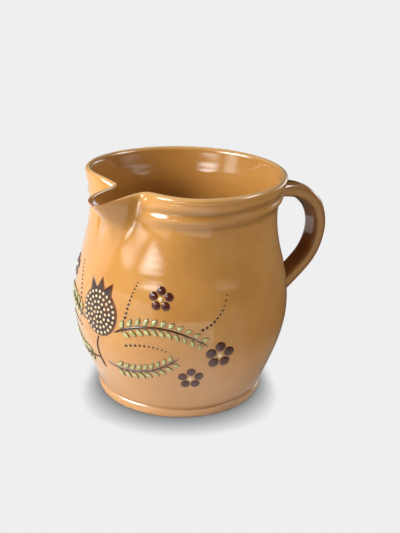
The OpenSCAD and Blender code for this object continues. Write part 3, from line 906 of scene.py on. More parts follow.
@dataclass
class SlipPosy:
    """Everything trailed in slip under the lip: stems, leaves, seed head, rosettes and tendrils.

    The wall is laid out flat to draw it, across in millimetres at the belly's radius and up in
    millimetres of height, and wrapped back round the pot. The places of the posy's parts are an
    angle from the lip's middle and a share of the posy's height, and a rosette has its scale too.
    """

    pot: ThrownPot
    lift: float = 27.0
    drop: float = 2.5
    stem_width: float = 1.9
    stem_relief: float = 0.7
    stem_end: float = 0.6
    stem_tips: float = 14.0
    leaf_length: float = 7.2
    leaf_width: float = 3.9
    leaf_relief: float = 1.2
    leaf_gap: float = 0.4
    leaf_lean: float = 48.0
    leaf_end: float = 0.78
    head_radius: float = 18.0
    head_relief: float = 0.6
    head_sides: int = 288
    crown_length: float = 8.0
    crown_lean: float = 25.0
    crown_half_angle: float = 14.0
    crown_power: float = 1.4
    pip_radius: float = 1.1
    pip_relief: float = 0.5
    pip_pitch: float = 0.21
    pip_rings: int = 5
    pips_more: int = 6
    pip_turn: float = 15.0
    petals_each: int = 5
    petal_radius: float = 3.9
    petal_relief: float = 0.8
    petal_gap: float = 0.5
    eye_radius: float = 2.0
    dot_radii: tuple[float, float] = (1.15, 0.6)
    drops_in_tendril: int = 10
    sunk: float = 0.35
    underside: float = 0.97
    main_stem: Curve = ((0, 0), (-6, 0.18), (0, 0.37))
    arched_stem: Curve = ((10.7, 0.46), (35, 0.74), (60, 0.41))
    low_stem: Curve = ((3, 0.1), (28, 0), (46, 0.3))
    arched_leaves: LeafRun = LeafRun(0.1, 0.92, 11)
    low_leaves: LeafRun = LeafRun(0.16, 0.88, 9)
    head_place: tuple[float, float] = (0, 0.61)
    rosettes: tuple[tuple[float, float, float], ...] = (
        (36, 0.86, 0.8), (-36, 0.86, 0.8), (66.5, 0.3, 1), (-66.5, 0.3, 1),
        (52, 0.05, 0.85), (-52, 0.05, 0.85))
    tendrils: tuple[Curve, ...] = (
        ((17.5, 0.64), (19.5, 0.85), (23, 0.98)), ((18, 0.36), (30, 0.43), (39, 0.36)),
        ((57, 0.58), (67, 0.66), (70, 0.88)))

    def __post_init__(self) -> None:
        """Works out the heights between which the posy is laid."""
        self.low = self.pot.foot_band + self.lift
        self.high = self.pot.pull_height - self.drop

    def spot(self, places: Array) -> Array:
        """Flat places from the posy's own.

        Args:
            places: angles from the lip's middle in degrees, and shares of the posy's height.

        Returns:
            Millimetres across and up.
        """
        places = np.asarray(places, dtype=float)
        return np.stack([np.radians(places[..., 0]) * self.pot.belly_radius,
                         self.low + (self.high - self.low) * places[..., 1]], -1)

    def beside(self, flat: Array, off: Array) -> Array:
        """Flat places at true distances from others: the wall is narrower away from the belly.

        Args:
            flat: flat places.
            off: distances across and up from them.

        Returns:
            Flat places, whose distances across are stretched as much as the wall is narrower.
        """
        height = flat[..., 1] + off[..., 1]
        stretch = self.pot.belly_radius / self.pot.wall_radius(height)
        return np.stack([flat[..., 0] + off[..., 0] * stretch, height], -1)

    def wrap(self, flat: Array, relief: Array) -> Array:
        """Wraps flat places round the wall: across becomes an angle, at the wall's radius.

        Args:
            flat: flat places.
            relief: how far each stands off the wall.

        Returns:
            Points in millimetres.
        """
        turn = flat[..., 0] / self.pot.belly_radius + math.radians(self.pot.lip_angle)
        radius = self.pot.wall_radius(flat[..., 1]) + relief
        return np.stack([radius * np.cos(turn), radius * np.sin(turn), flat[..., 1]], -1)

    def bend(self, curve: Curve, t: Array) -> tuple[Array, Array]:
        """A curve from its start to its end, drawn towards its bend: the quadratic through them.

        Args:
            curve: places of its start, bend and end.
            t: shares of the way along it.

        Returns:
            Flat places, and the curve's direction at each.
        """
        a, b, c = self.spot(curve)
        t = np.atleast_1d(t)[:, None]
        place = (1 - t) ** 2 * a + 2 * t * (1 - t) * b + t**2 * c
        way = (1 - t) * (b - a) + t * (c - b)
        return place, way / np.linalg.norm(way, axis=1, keepdims=True)

    def pillows(self, centres: Array, ways: Array, outline: Array, sizes: Array, reliefs: Array,
                base: float = 0.0, fullness: float = 2.6, rings: int = 6) -> Skin:
        """Closed drops of slip, all of one outline, laid on the wall.

        A drop is a polar grid: its height is the relief times the square root of one less the
        distance from its middle raised to its fullness, and its underside is sunk in the wall.

        Args:
            centres: flat places of the drops.
            ways: flat directions that their outlines are turned to.
            outline: points round the outline of a drop of size 1.
            sizes: scale of each drop, along and across its direction.
            reliefs: height of each drop.
            base: relief of what the drops lie on.
            fullness: more gives steeper sides and a flatter top.
            rings: rings from the middle to the edge.

        Returns:
            One surface for all drops, with the share of the way to the edge as a value.
        """
        m, n = len(outline), len(centres)
        rho = np.sin(np.linspace(0, np.pi / 2, rings + 1))[1:]
        height = np.sqrt(np.maximum(0, 1 - rho**fullness))
        disc = np.concatenate([rho[:, None, None] * outline, outline[None] * self.underside])
        disc = np.concatenate([disc.reshape(-1, 2), [[0, 0], [0, 0]]])
        lift = np.concatenate([np.repeat(height, m), np.full(m, np.nan), [1.0, np.nan]])
        off = (ways[:, None] * (disc[:, 0] * sizes[:, :1])[..., None]
               + to_left(ways)[:, None] * (disc[:, 1] * sizes[:, 1:])[..., None])
        stand = np.where(np.isnan(lift), base - self.sunk, base + lift * reliefs[:, None])
        points = self.wrap(self.beside(centres[:, None], off), stand)
        quads = grid_faces(rings + 1, m)[:, ::-1]
        fans = end_fans(rings + 1, m, inward=True)
        shift = np.arange(n)[:, None, None] * len(disc)
        share = np.concatenate([np.repeat(rho, m), np.ones(m), [0.0, 1.0]])
        return Skin(points.reshape(-1, 3), (quads[None] + shift).reshape(-1, 4),
                    (fans[None] + shift).reshape(-1, 3), {"brink": np.tile(share, n)})

    def trail(self, curve: Curve, steps: int = 70, sides: int = 12) -> Skin:
        """A trailed line: an oval section carried along a curve, closed to a point at its ends.

        Its size follows a square root towards each end, so that the ends are round.

        Args:
            curve: places of its start, bend and end.
            steps: sections along it.
            sides: points round a section.

        Returns:
            The closed surface, with the share of the way to its edge as a value.
        """
        t = np.linspace(0, 1, steps)
        place, way = self.bend(curve, t)
        ends = np.sqrt(np.clip(np.minimum(t, 1 - t) * self.stem_tips, 0.0004, 1))
        width = self.stem_width * (1 + (self.stem_end - 1) * t) / 2 * ends
        angle = 2 * np.pi * np.arange(sides) / sides
        off = to_left(way)[:, None] * (width[:, None] * np.sin(angle))[..., None]
        flat = self.beside(place[:, None], -off)
        points = self.wrap(flat, self.stem_relief * ends[:, None] * np.cos(angle))
        tips = self.wrap(place[[0, -1]], np.zeros(2))
        brink = np.append(np.tile(np.abs(np.sin(angle)), steps), [1, 1])
        return Skin.closed(points, tips, {"brink": brink})

    def mirrored(self, curve: Curve) -> Curve:
        """The same curve on the other side of the lip."""
        return tuple((-x, y) for x, y in curve)

    def stems(self) -> Skin:
        """The five trailed stems: the one to the seed head, and an arched and a low pair.

        Returns:
            One surface for all stems.
        """
        return join_skins([self.trail(curve) for curve in (
            self.main_stem, self.arched_stem, self.mirrored(self.arched_stem), self.low_stem,
            self.mirrored(self.low_stem))])

    def leaf_outline(self, sides: int = 26) -> Array:
        """A leaf of length and width 2, fullest before its middle.

        Half its width is mostly the sine of half a turn times its length's share to the 0.8,
        raised to 0.75, with a little of an ellipse to round its tips.

        Args:
            sides: points round the outline.

        Returns:
            The points.
        """
        phi = 2 * np.pi * np.arange(sides) / sides
        share = (1 - np.cos(phi)) / 2
        swell = np.abs(np.sin(np.pi * share**0.8) ** 0.75)
        half = 0.06 * np.abs(np.sin(phi)) + 0.94 * swell
        return np.stack([-np.cos(phi), -np.sign(np.sin(phi)) * half], -1)

    def leaves(self) -> Skin:
        """Leaves in pairs along the stems, leaning out from them and smaller towards their ends.

        Returns:
            One surface for all leaves.
        """
        centres, ways, scales = [], [], []
        for stem, run in ((self.arched_stem, self.arched_leaves), (self.low_stem, self.low_leaves)):
            scale = np.linspace(1, self.leaf_end, run.pairs)
            for curve in (stem, self.mirrored(stem)):
                place, way = self.bend(curve, np.linspace(run.first, run.last, run.pairs))
                for turn in (-1, 1):
                    lean = math.radians(self.leaf_lean * turn)
                    off = to_left(way) * turn * (self.stem_width / 2 + self.leaf_gap)
                    out = way * math.cos(lean) + to_left(way) * math.sin(lean)
                    half = out * (self.leaf_length * scale / 2)[:, None]
                    centres.append(self.beside(self.beside(place, off), half))
                    ways.append(out)
                    scales.append(scale)
        scale = np.concatenate(scales)
        sizes = np.stack([scale * self.leaf_length / 2, scale * self.leaf_width / 2], -1)
        return self.pillows(np.concatenate(centres), np.concatenate(ways), self.leaf_outline(),
                            sizes, scale * self.leaf_relief, fullness=2.4)

    def circle(self, sides: int = 24) -> Array:
        """Points round a circle of radius 1."""
        return around(2 * np.pi * np.arange(sides) / sides)

    def drops(self, centres: Array, radii: Array, relief: float, base: float = 0.0,
              fullness: float = 2.0) -> Skin:
        """Round drops of slip, each of its own radius and all of one relief.

        Args:
            centres: flat places of the drops.
            radii: radius of each drop.
            relief: height of the drops.
            base: relief of what the drops lie on.
            fullness: more gives steeper sides and a flatter top.

        Returns:
            One surface for all drops.
        """
        ways = np.tile([0.0, 1.0], (len(centres), 1))
        return self.pillows(centres, ways, self.circle(), np.stack([radii, radii], -1),
                            np.full(len(radii), relief), base, fullness)

    def seed_head(self) -> Skin:
        """A round patch with a crown.

        To the circle's radius comes, at three angles, the crown's length times one less the share
        of its half angle, raised to the crown's power.

        Returns:
            The closed surface, nearly flat on top.
        """
        phi = 2 * np.pi * np.arange(self.head_sides) / self.head_sides
        off = np.degrees(np.angle(np.exp(1j * phi)))
        crown = [np.clip(1 - np.abs(off - tilt) / self.crown_half_angle, 0, 1) ** self.crown_power
                 for tilt in (-self.crown_lean, 0, self.crown_lean)]
        radius = self.head_radius + self.crown_length * np.max(crown, axis=0)
        return self.pillows(self.spot([self.head_place]), np.array([[0.0, 1.0]]),
                            around(phi) * radius[:, None], np.ones((1, 2)),
                            np.array([self.head_relief]), fullness=18, rings=26)

    def pips(self) -> Skin:
        """Cream drops in rings on the seed head, each ring with a few more than the last.

        Returns:
            One surface for all pips.
        """
        more = self.pips_more
        rings = np.array([(ring, i) for ring in range(self.pip_rings)
                          for i in range(max(1, ring * more))])
        ring = rings[:, 0]
        angle = np.radians(360 * rings[:, 1] / np.maximum(1, ring * more) + ring * self.pip_turn)
        far = ring * self.head_radius * self.pip_pitch
        centres = self.beside(self.spot(self.head_place), far[:, None] * around(angle))
        return self.drops(centres, np.full(len(rings), self.pip_radius), self.pip_relief,
                          self.head_relief)

    def petals(self) -> Skin:
        """Round petals about each rosette's eye, so far out that a small gap is left between them.

        Returns:
            One surface for all petals.
        """
        roses, each = np.array(self.rosettes), self.petals_each
        size = np.repeat(roses[:, 2], each)
        angle = np.radians(360 / each * np.tile(np.arange(each), len(roses)) + 90)
        far = (self.petal_radius * size + self.petal_gap / 2) / math.sin(math.pi / each)
        centres = self.beside(np.repeat(self.spot(roses), each, 0), far[:, None] * around(angle))
        return self.drops(centres, self.petal_radius * size, self.petal_relief, fullness=3)

    def eyes(self) -> Skin:
        """The cream drop in the middle of each rosette."""
        roses = np.array(self.rosettes)
        return self.drops(self.spot(roses), self.eye_radius * roses[:, 2], self.petal_relief)

    def tendril_dots(self) -> Skin:
        """Rows of dark drops that grow smaller outwards.

        Returns:
            One surface for all drops.
        """
        curves = [*self.tendrils, *map(self.mirrored, self.tendrils)]
        t = np.linspace(0, 1, self.drops_in_tendril)
        first, last = self.dot_radii
        centres = np.concatenate([self.bend(curve, t)[0] for curve in curves])
        return self.drops(centres, np.tile(first + (last - first) * t, len(curves)),
                          self.pip_relief)

    def build(self, finishes: dict["SlipColour", bpy.types.Material]) -> list[bpy.types.Object]:
        """Makes every deposit and puts it in place of its node.

        Args:
            finishes: a material for each colour of slip.

        Returns:
            The new objects.
        """
        plan = [
            ("trailed_stems", self.stems, SlipColour.DARK, "slip_stems", "dark_slip"),
            ("raised_leaves", self.leaves, SlipColour.GREEN, "slip_leaves", "green_slip"),
            ("seed_head", self.seed_head, SlipColour.HEAD, "slip_seed_head", "seed_head_slip"),
            ("seed_pips", self.pips, SlipColour.CREAM, "slip_seed_pips", "cream_slip"),
            ("rosette_petals", self.petals, SlipColour.BROWN, "slip_petals", "brown_slip"),
            ("rosette_eyes", self.eyes, SlipColour.EYE, "slip_eyes", "cream_slip"),
            ("tendril_dots", self.tendril_dots, SlipColour.DARK, "slip_tendrils", "dark_slip"),
        ]
        return [place_piece(name, make(), finishes[colour], node)
                for name, make, colour, node, slot in plan]


# ---------------------------------------------------------------- finishes


@dataclass(frozen=True)
class ClearCoat:
    """The clear lead-type glaze over everything, as the shader's coat.

    Lead bends light more than plain glass does, which is what makes the pot look wet. What lies
    under the glaze gives back little shine of its own.
    """

    under: float
    roughness: float
    ior: float = 1.68

    def settings(self) -> dict[str, float]:
        """The shader's settings, by the names of its sockets."""
        return {"IOR": 1.5, "Specular IOR Level": self.under, "Coat Weight": 1.0,
                "Coat Roughness": self.roughness, "Coat IOR": self.ior}


@dataclass(frozen=True)
class Grain:
    """A noise pattern: the real size of its grain in millimetres, its detail and roughness."""

    size_mm: float
    detail: float
    roughness: float = 0.5


@dataclass(frozen=True)
class Share:
    """How much of something shows: none where a value is low, and the most where it is high."""

    source: str
    low: float
    high: float
    most: float


@dataclass(frozen=True)
class HoneyGlaze:
    """Clear lead-type glaze, honey-coloured, over a thrown earthenware body.

    The clay gives a matt ochre ground and the glaze a hard wet gloss over it. The glaze lies
    thin and pale on edges, with a painted highlight there, and thick and brown in grooves. Painted
    shade darkens the fold beside the lip, the strap's flat face and the whole inside of the pot,
    and a painted sheen makes it paler towards the foot. It is worn to the clay at the lip's tip,
    and is wiped off underneath.
    """

    name: str
    pale: str = "#d2984f"
    middle: str = "#c88c45"
    # The deep tone: pooled glaze, and painted shade in the lip's fold, on the strap's face and
    # inside
    deep_pool_and_shade: str = "#92601f"
    # On edges: pale thin glaze and a painted highlight
    pale_edge_and_highlight: str = "#e6c08d"
    clay: str = "#a5573a"
    bare: str = "#cf9f72"
    speck: str = "#6b421d"
    # Painted sheen: the pale floor's reflection on the lower belly, and the heights over which it
    # fades in
    painted_sheen: str = "#e0b48c"
    painted_sheen_mm: tuple[float, float] = (58.0, 18.0)
    cloud: Grain = Grain(34.0, 3)
    mottle: Grain = Grain(7.0, 4, 0.6)
    ripple: Grain = Grain(9.0, 2)
    # Iron specks and sand in the clay are under half a millimetre, and are drawn coarser to show
    specks: Grain = Grain(1.5, 1)
    sand: Grain = Grain(1.1, 2)
    cloud_stops: tuple[float, float] = (0.32, 0.66)
    relief: float = 0.05
    ripple_height: float = 0.0006
    sand_height: float = 0.0002
    roughness: float = 0.42
    bare_dull: Share = Share("bare", 0.3, 0.8, 0.5)
    coat: ClearCoat = ClearCoat(0.15, 0.035)

    def tints(self) -> tuple[tuple[str, Share], ...]:
        """The colours over the clouded ground.

        Returns:
            Each colour and how much of it shows, from the lowest up.
        """
        high, low = (height * MM for height in self.painted_sheen_mm)
        return (
            (self.middle, Share("mottle", 0.35, 0.75, 0.5)),
            # The deep tone where the glaze pools, and as painted shade in the lip's fold and on the
            # strap's face
            (self.deep_pool_and_shade, Share("pool", 0.0, 1.0, 0.55)),
            # Painted shade: the whole inside of the pot is darkened with the deep tone
            (self.deep_pool_and_shade, Share("inside", 0.0, 1.0, 0.32)),
            (self.speck, Share("specks", 0.735, 0.78, 0.55)),
            # Pale thin glaze on the crest and the strap's arrises, with a painted highlight
            (self.pale_edge_and_highlight, Share("rim", 0.1, 0.9, 0.7)),
            # Painted sheen: paler and milkier towards the foot, in place of the pale floor's
            # reflection
            (self.painted_sheen, Share("height", high, low, 0.4)),
            (self.clay, Share("worn", 0.25, 0.8, 0.85)),
            (self.bare, Share("bare", 0.2, 0.8, 1.0)),
        )

    def sources(self, tree: bpy.types.NodeTree) -> dict[str, Socket]:
        """The values that the shares go by: the noises, the points' own values and the height.

        Args:
            tree: the material's nodes.

        Returns:
            A socket for each, by name.
        """
        place = add_node(tree, "ShaderNodeTexCoord").outputs["Object"]
        found = {"height": add_node(tree, "ShaderNodeSeparateXYZ", {}, {0: place}).outputs["Z"]}
        grains = {"cloud": self.cloud, "mottle": self.mottle, "specks": self.specks,
                  "ripple": self.ripple, "sand": self.sand}
        for name, grain in grains.items():
            found[name] = add_node(tree, "ShaderNodeTexNoise",
                                   {"Scale": 1 / (grain.size_mm * MM), "Detail": grain.detail,
                                    "Roughness": grain.roughness}, {"Vector": place}).outputs["Fac"]
        for name in ("pool", "inside", "rim", "worn", "bare"):
            found[name] = add_node(tree, "ShaderNodeAttribute",
                                   {"attribute_name": name}).outputs["Fac"]
        return found

    def dress(self) -> bpy.types.Material:
        """Builds the glaze's nodes.

        Returns:
            The material.
        """
        material = bpy.data.materials.new(self.name)
        tree = empty_tree(material)
        found = self.sources(tree)
        tints, wanted = zip(*self.tints())
        shares = [add_node(tree, "ShaderNodeMapRange",
                           {"From Min": share.low, "From Max": share.high, "To Max": share.most},
                           {"Value": found[share.source]}).outputs["Result"]
                  for share in (*wanted, self.bare_dull)]
        grounds = zip(self.cloud_stops, (linear(self.pale), linear(self.middle)))
        colour = add_node(tree, "ShaderNodeValToRGB", {"stops": list(grounds)},
                          {"Fac": found["cloud"]}).outputs["Color"]
        for tint, share in zip(tints, shares):
            colour = add_node(tree, "ShaderNodeMix", {"data_type": "RGBA", 7: linear(tint)},
                              {0: share, 6: colour}).outputs[2]
        rough = add_node(tree, "ShaderNodeMath", {"operation": "ADD", 1: self.roughness},
                         {0: shares[-1]}).outputs[0]
        relief = {}
        for name, height in (("ripple", self.ripple_height), ("sand", self.sand_height)):
            bumps = add_node(tree, "ShaderNodeBump", {"Strength": self.relief, "Distance": height},
                             {"Height": found[name], **relief})
            relief = {"Normal": bumps.outputs["Normal"]}
        shader = add_node(tree, "ShaderNodeBsdfPrincipled", self.coat.settings(),
                          {"Base Color": colour, "Roughness": rough, **relief,
                           "Coat Normal": relief["Normal"]})
        add_node(tree, "ShaderNodeOutputMaterial", {}, {"Surface": shader.outputs[0]})
        return material


@dataclass(frozen=True)
class TrailedSlip:
    """Coloured slip trailed on the raw pot and fired under the same clear glaze.

    It stands proud and glossy, clouded where it was trailed thinner, and has another tone round
    its brink, where the glaze has pooled against it.
    """

    name: str
    body: str
    thin: str
    brink: str
    brink_from: float = 0.7
    brink_top: float = 0.9
    grain_mm: float = 3.0
    cloud_stops: tuple[float, float] = (0.38, 0.7)
    relief: float = 0.15
    relief_height: float = 0.0003
    roughness: float = 0.4
    coat: ClearCoat = ClearCoat(0.1, 0.04)

    def dress(self) -> bpy.types.Material:
        """Builds the slip's nodes.

        Returns:
            The material.
        """
        material = bpy.data.materials.new(self.name)
        tree = empty_tree(material)
        place = add_node(tree, "ShaderNodeTexCoord").outputs["Object"]
        grain = add_node(tree, "ShaderNodeTexNoise",
                         {"Scale": 1 / (self.grain_mm * MM), "Detail": 3.0},
                         {"Vector": place}).outputs["Fac"]
        tones = zip(self.cloud_stops, (linear(self.body), linear(self.thin)))
        colour = add_node(tree, "ShaderNodeValToRGB", {"stops": list(tones)},
                          {"Fac": grain}).outputs["Color"]
        brink = add_node(tree, "ShaderNodeAttribute", {"attribute_name": "brink"}).outputs["Fac"]
        share = add_node(tree, "ShaderNodeMapRange",
                         {"From Min": self.brink_from, "From Max": 1.0, "To Max": self.brink_top},
                         {"Value": brink}).outputs["Result"]
        colour = add_node(tree, "ShaderNodeMix", {"data_type": "RGBA", 7: linear(self.brink)},
                          {0: share, 6: colour}).outputs[2]
        relief = add_node(tree, "ShaderNodeBump",
                          {"Strength": self.relief, "Distance": self.relief_height},
                          {"Height": grain}).outputs["Normal"]
        shader = add_node(tree, "ShaderNodeBsdfPrincipled",
                          {"Roughness": self.roughness, **self.coat.settings()},
                          {"Base Color": colour, "Normal": relief, "Coat Normal": relief})
        add_node(tree, "ShaderNodeOutputMaterial", {}, {"Surface": shader.outputs[0]})
        return material


class SlipColour(Enum):
    """The slips in the posy, each with its finish."""

    DARK = TrailedSlip("dark_manganese_slip", "#2a1208", "#4a2410", "#7a4517", 0.75, 0.5)
    HEAD = TrailedSlip("seed_head_manganese_slip", "#1f0e06", "#5c2c10", "#8f5018", 0.9, 0.8, 6.0)
    GREEN = TrailedSlip("copper_green_slip", "#cdc98e", "#a3a14e", "#4f3412", 0.6, 1.0, 2.4)
    CREAM = TrailedSlip("cream_slip", "#f0dcb0", "#dfc187", "#9a6a30", 0.75, 0.6)
    EYE = TrailedSlip("cream_eye_slip", "#f0dcb0", "#e3c891", "#9a6a30", 0.8, 0.6)
    BROWN = TrailedSlip("brown_iron_slip", "#4a1d13", "#5f2a1b", "#33150c", 0.85, 0.6, 4.0)


# ---------------------------------------------------------------- studio


@dataclass(frozen=True)
class SoftBox:
    """A rectangular soft light: its heading and rise in degrees, its size and distance in metres
    and its power in watts. It faces the jug and fades out towards its edges."""

    name: str
    heading: float
    rise: float
    size: tuple[float, float]
    power: float
    distance: float = 1.3


@dataclass(frozen=True)
class Card:
    """A card of flock paper for the glaze to reflect: its headings in degrees, the reach from the
    jug's axis and the height over the floor of its two edges in millimetres, its colour, and its
    colour near the jug."""

    name: str
    headings: tuple[float, float]
    reaches: tuple[float, float]
    heights: tuple[float, float]
    colour: str
    near_colour: str


@dataclass
class Studio:
    """The pale sweep, the soft lights and the camera at the photograph's viewpoint, with cards and
    a canopy that only the glaze's reflections see."""

    backdrop: str = "#efefef"
    # The fitted camera: its focal length in pixels of the frame, its place and how it is turned
    focal_px: float = 911.42
    frame_px: tuple[int, int] = (400, 533)
    distance: float = 647.4
    height: float = 344.9
    heading: float = -120.0
    pitch: float = 21.119
    yaw: float = 1.2545
    roll: float = 1.415
    sensor: float = 36.0
    # The floor: half its side in metres, and the contact shadow. The shadow's reach is the first
    # of the two up to the jug's axis, and has grown to the second shadow_span before the axis
    floor_reach_m: float = 6.0
    shadow: str = "#1e2226"
    shadow_reaches: tuple[float, float] = (12.0, 28.0)
    shadow_span: float = 63.0
    shadow_depth: float = 1.45
    shadow_samples: int = 16
    cards: tuple[Card, ...] = (
        Card("black_card_in_front", (214, 269), (500, 500), (0.5, 160), "#1c1a18", "#1c1a18"),
        Card("grey_card_right", (269, 300), (68, 5900), (0.8, 0.8), "#8f8b84", "#dedbd5"),
        Card("dark_card_right", (300, 432), (68, 5900), (0.8, 0.8), "#4a4743", "#c4c0b8"),
        Card("dark_canopy", (0, 360), (5900, 10), (0.8, 4000), "#4a4743", "#4a4743"),
    )
    card_columns: int = 25
    card_fade: tuple[float, float] = (70.0, 190.0)
    sky_strength: float = 0.05
    # The lamps: the height that they face, the share of a side that fades out at each edge, and
    # each of them
    aim: float = 80.0
    box_fade: float = 0.42
    boxes: tuple[SoftBox, ...] = (
        SoftBox("key", 168, 34, (1.25, 0.75), 21.5),
        SoftBox("low_left", 207, 12, (0.85, 0.3), 2.2),
        SoftBox("far_left", 176, 12, (0.6, 0.28), 0.5),
        SoftBox("low_right", 300, 10, (1.5, 0.28), 0.6),
        SoftBox("high_right", 330, 42, (0.9, 0.5), 6.0),
        SoftBox("low_behind", 15, 8, (1.3, 0.5), 2.5),
    )

    def camera(self) -> bpy.types.Object:
        """Sets the camera by its heading round the pot, its pitch, its yaw and its roll.

        Returns:
            The camera.
        """
        heading, pitch, roll = map(math.radians, (self.heading, self.pitch, self.roll))
        position = Vector((self.distance * math.cos(heading), self.distance * math.sin(heading),
                           self.height)) * MM
        look = math.radians(self.heading + 180 - self.yaw)
        forward = Vector((math.cos(look) * math.cos(pitch), math.sin(look) * math.cos(pitch),
                          -math.sin(pitch)))
        level = forward.cross(Vector((0, 0, 1))).normalized()
        upright = level.cross(forward)
        right = level * math.cos(roll) + upright * math.sin(roll)
        up = upright * math.cos(roll) - level * math.sin(roll)
        data = bpy.data.cameras.new("photograph_camera")
        data.sensor_width = self.sensor
        data.lens = self.focal_px * self.sensor / max(self.frame_px)
        data.clip_start = 0.01
        camera = set_in_scene("photograph_camera", data)
        turn = Matrix((right, up, -forward)).transposed().to_4x4()
        camera.matrix_world = Matrix.Translation(position) @ turn
        bpy.context.scene.camera = camera
        return camera

    def lamp(self, box: SoftBox) -> bpy.types.Object:
        """Adds one soft box that faces the jug, full in its middle and dark at its edges.

        Its strength is the product of a smooth step across and one up, over their mean.

        Args:
            box: its place, size and power.

        Returns:
            The lamp.
        """
        data = bpy.data.lights.new(box.name, "AREA")
        data.shape = "RECTANGLE"
        data.size, data.size_y = box.size
        data.energy = box.power
        tree = empty_tree(data)
        spot = add_node(tree, "ShaderNodeNewGeometry").outputs["Parametric"]
        spots = add_node(tree, "ShaderNodeSeparateXYZ", {}, {0: spot}).outputs
        fades = {}
        for side in (0, 1):
            off = add_node(tree, "ShaderNodeMath", {"operation": "SUBTRACT", 1: 0.5},
                           {0: spots[side]}).outputs[0]
            off = add_node(tree, "ShaderNodeMath", {"operation": "ABSOLUTE"}, {0: off}).outputs[0]
            fades[side] = add_node(tree, "ShaderNodeMapRange",
                                   {"interpolation_type": "SMOOTHSTEP", "From Min": 0.5,
                                    "From Max": 0.5 - self.box_fade},
                                   {"Value": off}).outputs["Result"]
        glow = add_node(tree, "ShaderNodeMath", {"operation": "MULTIPLY"}, fades).outputs[0]
        level = add_node(tree, "ShaderNodeMath",
                         {"operation": "DIVIDE", 1: (1 - self.box_fade) ** 2},
                         {0: glow}).outputs[0]
        light = add_node(tree, "ShaderNodeEmission", {}, {"Strength": level})
        add_node(tree, "ShaderNodeOutputLight", {}, {"Surface": light.outputs[0]})
        turn, climb = math.radians(box.heading), math.radians(box.rise)
        way = Vector((math.cos(turn) * math.cos(climb), math.sin(turn) * math.cos(climb),
                      math.sin(climb)))
        lamp = set_in_scene(box.name, data)
        lamp.location = way * box.distance + Vector((0, 0, self.aim * MM))
        lamp.rotation_euler = (-way).to_track_quat("-Z", "Y").to_euler()
        return lamp

    def background_rays(self, tree: bpy.types.NodeTree) -> Socket:
        """A value of 1 for the rays that see the background: the camera's, gloss's and glass's.

        Args:
            tree: the nodes that ask for it.

        Returns:
            The value.
        """
        rays = add_node(tree, "ShaderNodeLightPath").outputs
        seen = add_node(tree, "ShaderNodeMath", {"operation": "MAXIMUM"},
                        {0: rays["Is Glossy Ray"], 1: rays["Is Transmission Ray"]}).outputs[0]
        return add_node(tree, "ShaderNodeMath", {"operation": "MAXIMUM"},
                        {0: seen, 1: rays["Is Camera Ray"]}).outputs[0]

    def sweep(self) -> bpy.types.Object:
        """The pale floor: matt white paper, seen at the backdrop's own even colour.

        That colour is darkened where the jug stands close over the paper: it is mixed with the
        shadow's by the open share of the near surroundings, raised to a power. What counts as
        near grows from the jug's axis towards the camera.

        Returns:
            The floor.
        """
        half = self.floor_reach_m
        data = bpy.data.meshes.new("floor")
        data.from_pydata([(-half, -half, 0), (half, -half, 0), (half, half, 0), (-half, half, 0)],
                         [], [(0, 1, 2, 3)])
        floor = set_in_scene("floor", data)
        material = bpy.data.materials.new("matt_white_paper_sweep")
        tree = empty_tree(material)
        paint = add_node(tree, "ShaderNodeBsdfDiffuse", {"Color": linear(self.backdrop)})
        front = math.radians(self.heading)
        place = add_node(tree, "ShaderNodeTexCoord").outputs["Object"]
        ahead = add_node(tree, "ShaderNodeVectorMath",
                         {"operation": "DOT_PRODUCT", 1: (math.cos(front), math.sin(front), 0)},
                         {0: place}).outputs["Value"]
        low, high = self.shadow_reaches
        reach = add_node(tree, "ShaderNodeMapRange",
                         {"From Min": 0.0, "From Max": self.shadow_span * MM,
                          "To Min": low * MM, "To Max": high * MM},
                         {"Value": ahead}).outputs["Result"]
        near = add_node(tree, "ShaderNodeAmbientOcclusion", {"samples": self.shadow_samples},
                        {"Distance": reach}).outputs["AO"]
        depth = add_node(tree, "ShaderNodeMath", {"operation": "POWER", 1: self.shadow_depth},
                         {0: near}).outputs[0]
        tint = add_node(tree, "ShaderNodeMix",
                        {"data_type": "RGBA", 6: linear(self.shadow), 7: linear(self.backdrop)},
                        {0: depth}).outputs[2]
        glow = add_node(tree, "ShaderNodeEmission", {"Strength": 1.0}, {"Color": tint})
        both = add_node(tree, "ShaderNodeMixShader", {},
                        {0: self.background_rays(tree), 1: paint.outputs[0], 2: glow.outputs[0]})
        add_node(tree, "ShaderNodeOutputMaterial", {}, {"Surface": both.outputs[0]})
        data.materials.append(material)
        return floor

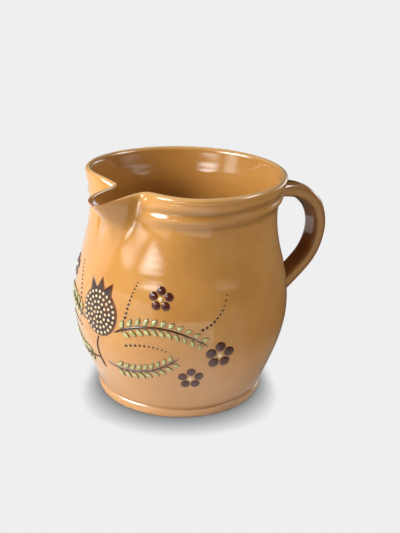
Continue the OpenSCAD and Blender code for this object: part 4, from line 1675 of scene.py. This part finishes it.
    def set_card(self, card: Card) -> bpy.types.Object:
        """Sets up one card that only the glaze's reflections see: a part of a ring about the jug.

        Args:
            card: its headings, its two edges and its colours.

        Returns:
            The card's object.
        """
        count = self.card_columns
        ring = around(np.radians(np.linspace(*card.headings, count)))
        edges = [np.column_stack([reach * ring, np.full(count, height)]) * MM
                 for reach, height in zip(card.reaches, card.heights)]
        i = np.arange(count - 1)
        faces = np.stack([i, i + 1, i + count + 1, i + count], -1)
        data = bpy.data.meshes.new(card.name)
        data.from_pydata(np.concatenate(edges).tolist(), [], faces.tolist())
        material = bpy.data.materials.new(card.name + "_flock")
        tree = empty_tree(material)
        place = add_node(tree, "ShaderNodeTexCoord").outputs["Object"]
        reach = add_node(tree, "ShaderNodeVectorMath", {"operation": "LENGTH"},
                         {0: place}).outputs["Value"]
        near, far = (fade * MM for fade in self.card_fade)
        share = add_node(tree, "ShaderNodeMapRange",
                         {"interpolation_type": "SMOOTHSTEP", "From Min": near, "From Max": far},
                         {"Value": reach}).outputs["Result"]
        tone = add_node(tree, "ShaderNodeMix",
                        {"data_type": "RGBA", 6: linear(card.near_colour), 7: linear(card.colour)},
                        {0: share}).outputs[2]
        flock = add_node(tree, "ShaderNodeBsdfDiffuse", {}, {"Color": tone})
        add_node(tree, "ShaderNodeOutputMaterial", {}, {"Surface": flock.outputs[0]})
        data.materials.append(material)
        placed = set_in_scene(card.name, data)
        placed.visible_camera = placed.visible_shadow = placed.visible_diffuse = False
        return placed

    def sky(self) -> None:
        """Faint even light from all round, seen directly in the backdrop's colour."""
        world = bpy.data.worlds.new("studio")
        tree = empty_tree(world)
        fill = add_node(tree, "ShaderNodeBackground",
                        {"Color": linear("#ffffff"), "Strength": self.sky_strength})
        wall = add_node(tree, "ShaderNodeBackground",
                        {"Color": linear(self.backdrop), "Strength": 1.0})
        both = add_node(tree, "ShaderNodeMixShader", {},
                        {0: self.background_rays(tree), 1: fill.outputs[0], 2: wall.outputs[0]})
        add_node(tree, "ShaderNodeOutputWorld", {}, {"Surface": both.outputs[0]})
        bpy.context.scene.world = world

    def build(self) -> None:
        """Makes the camera, the floor, the sky, the cards and the lamps."""
        self.camera()
        self.sweep()
        self.sky()
        for card in self.cards:
            self.set_card(card)
        for box in self.boxes:
            self.lamp(box)
        bpy.context.scene.view_settings.view_transform = "Standard"


# ---------------------------------------------------------------- the whole scene


def main() -> None:
    """Builds the studio, the pot, its handle, whose darker glaze is painted shade, and its posy."""
    logging.basicConfig(level=logging.INFO, format="%(name)s: %(message)s")
    Studio().build()
    pot = ThrownPot()
    pot.build(HoneyGlaze("honey_lead_glaze").dress())
    # The strap's glaze is a darker copy of the pot's glaze: painted shade, as the handle stands in
    # shade
    shaded_strap_glaze = HoneyGlaze("honey_lead_glaze_painted_shade_on_strap", pale="#b27b42", middle="#9d6631",
                          deep_pool_and_shade="#643a17", pale_edge_and_highlight="#c99a62")
    StrapHandle(pot).build(shaded_strap_glaze.dress())
    SlipPosy(pot).build({colour: colour.value.dress() for colour in SlipColour})


if __name__ == "__main__":
    main()
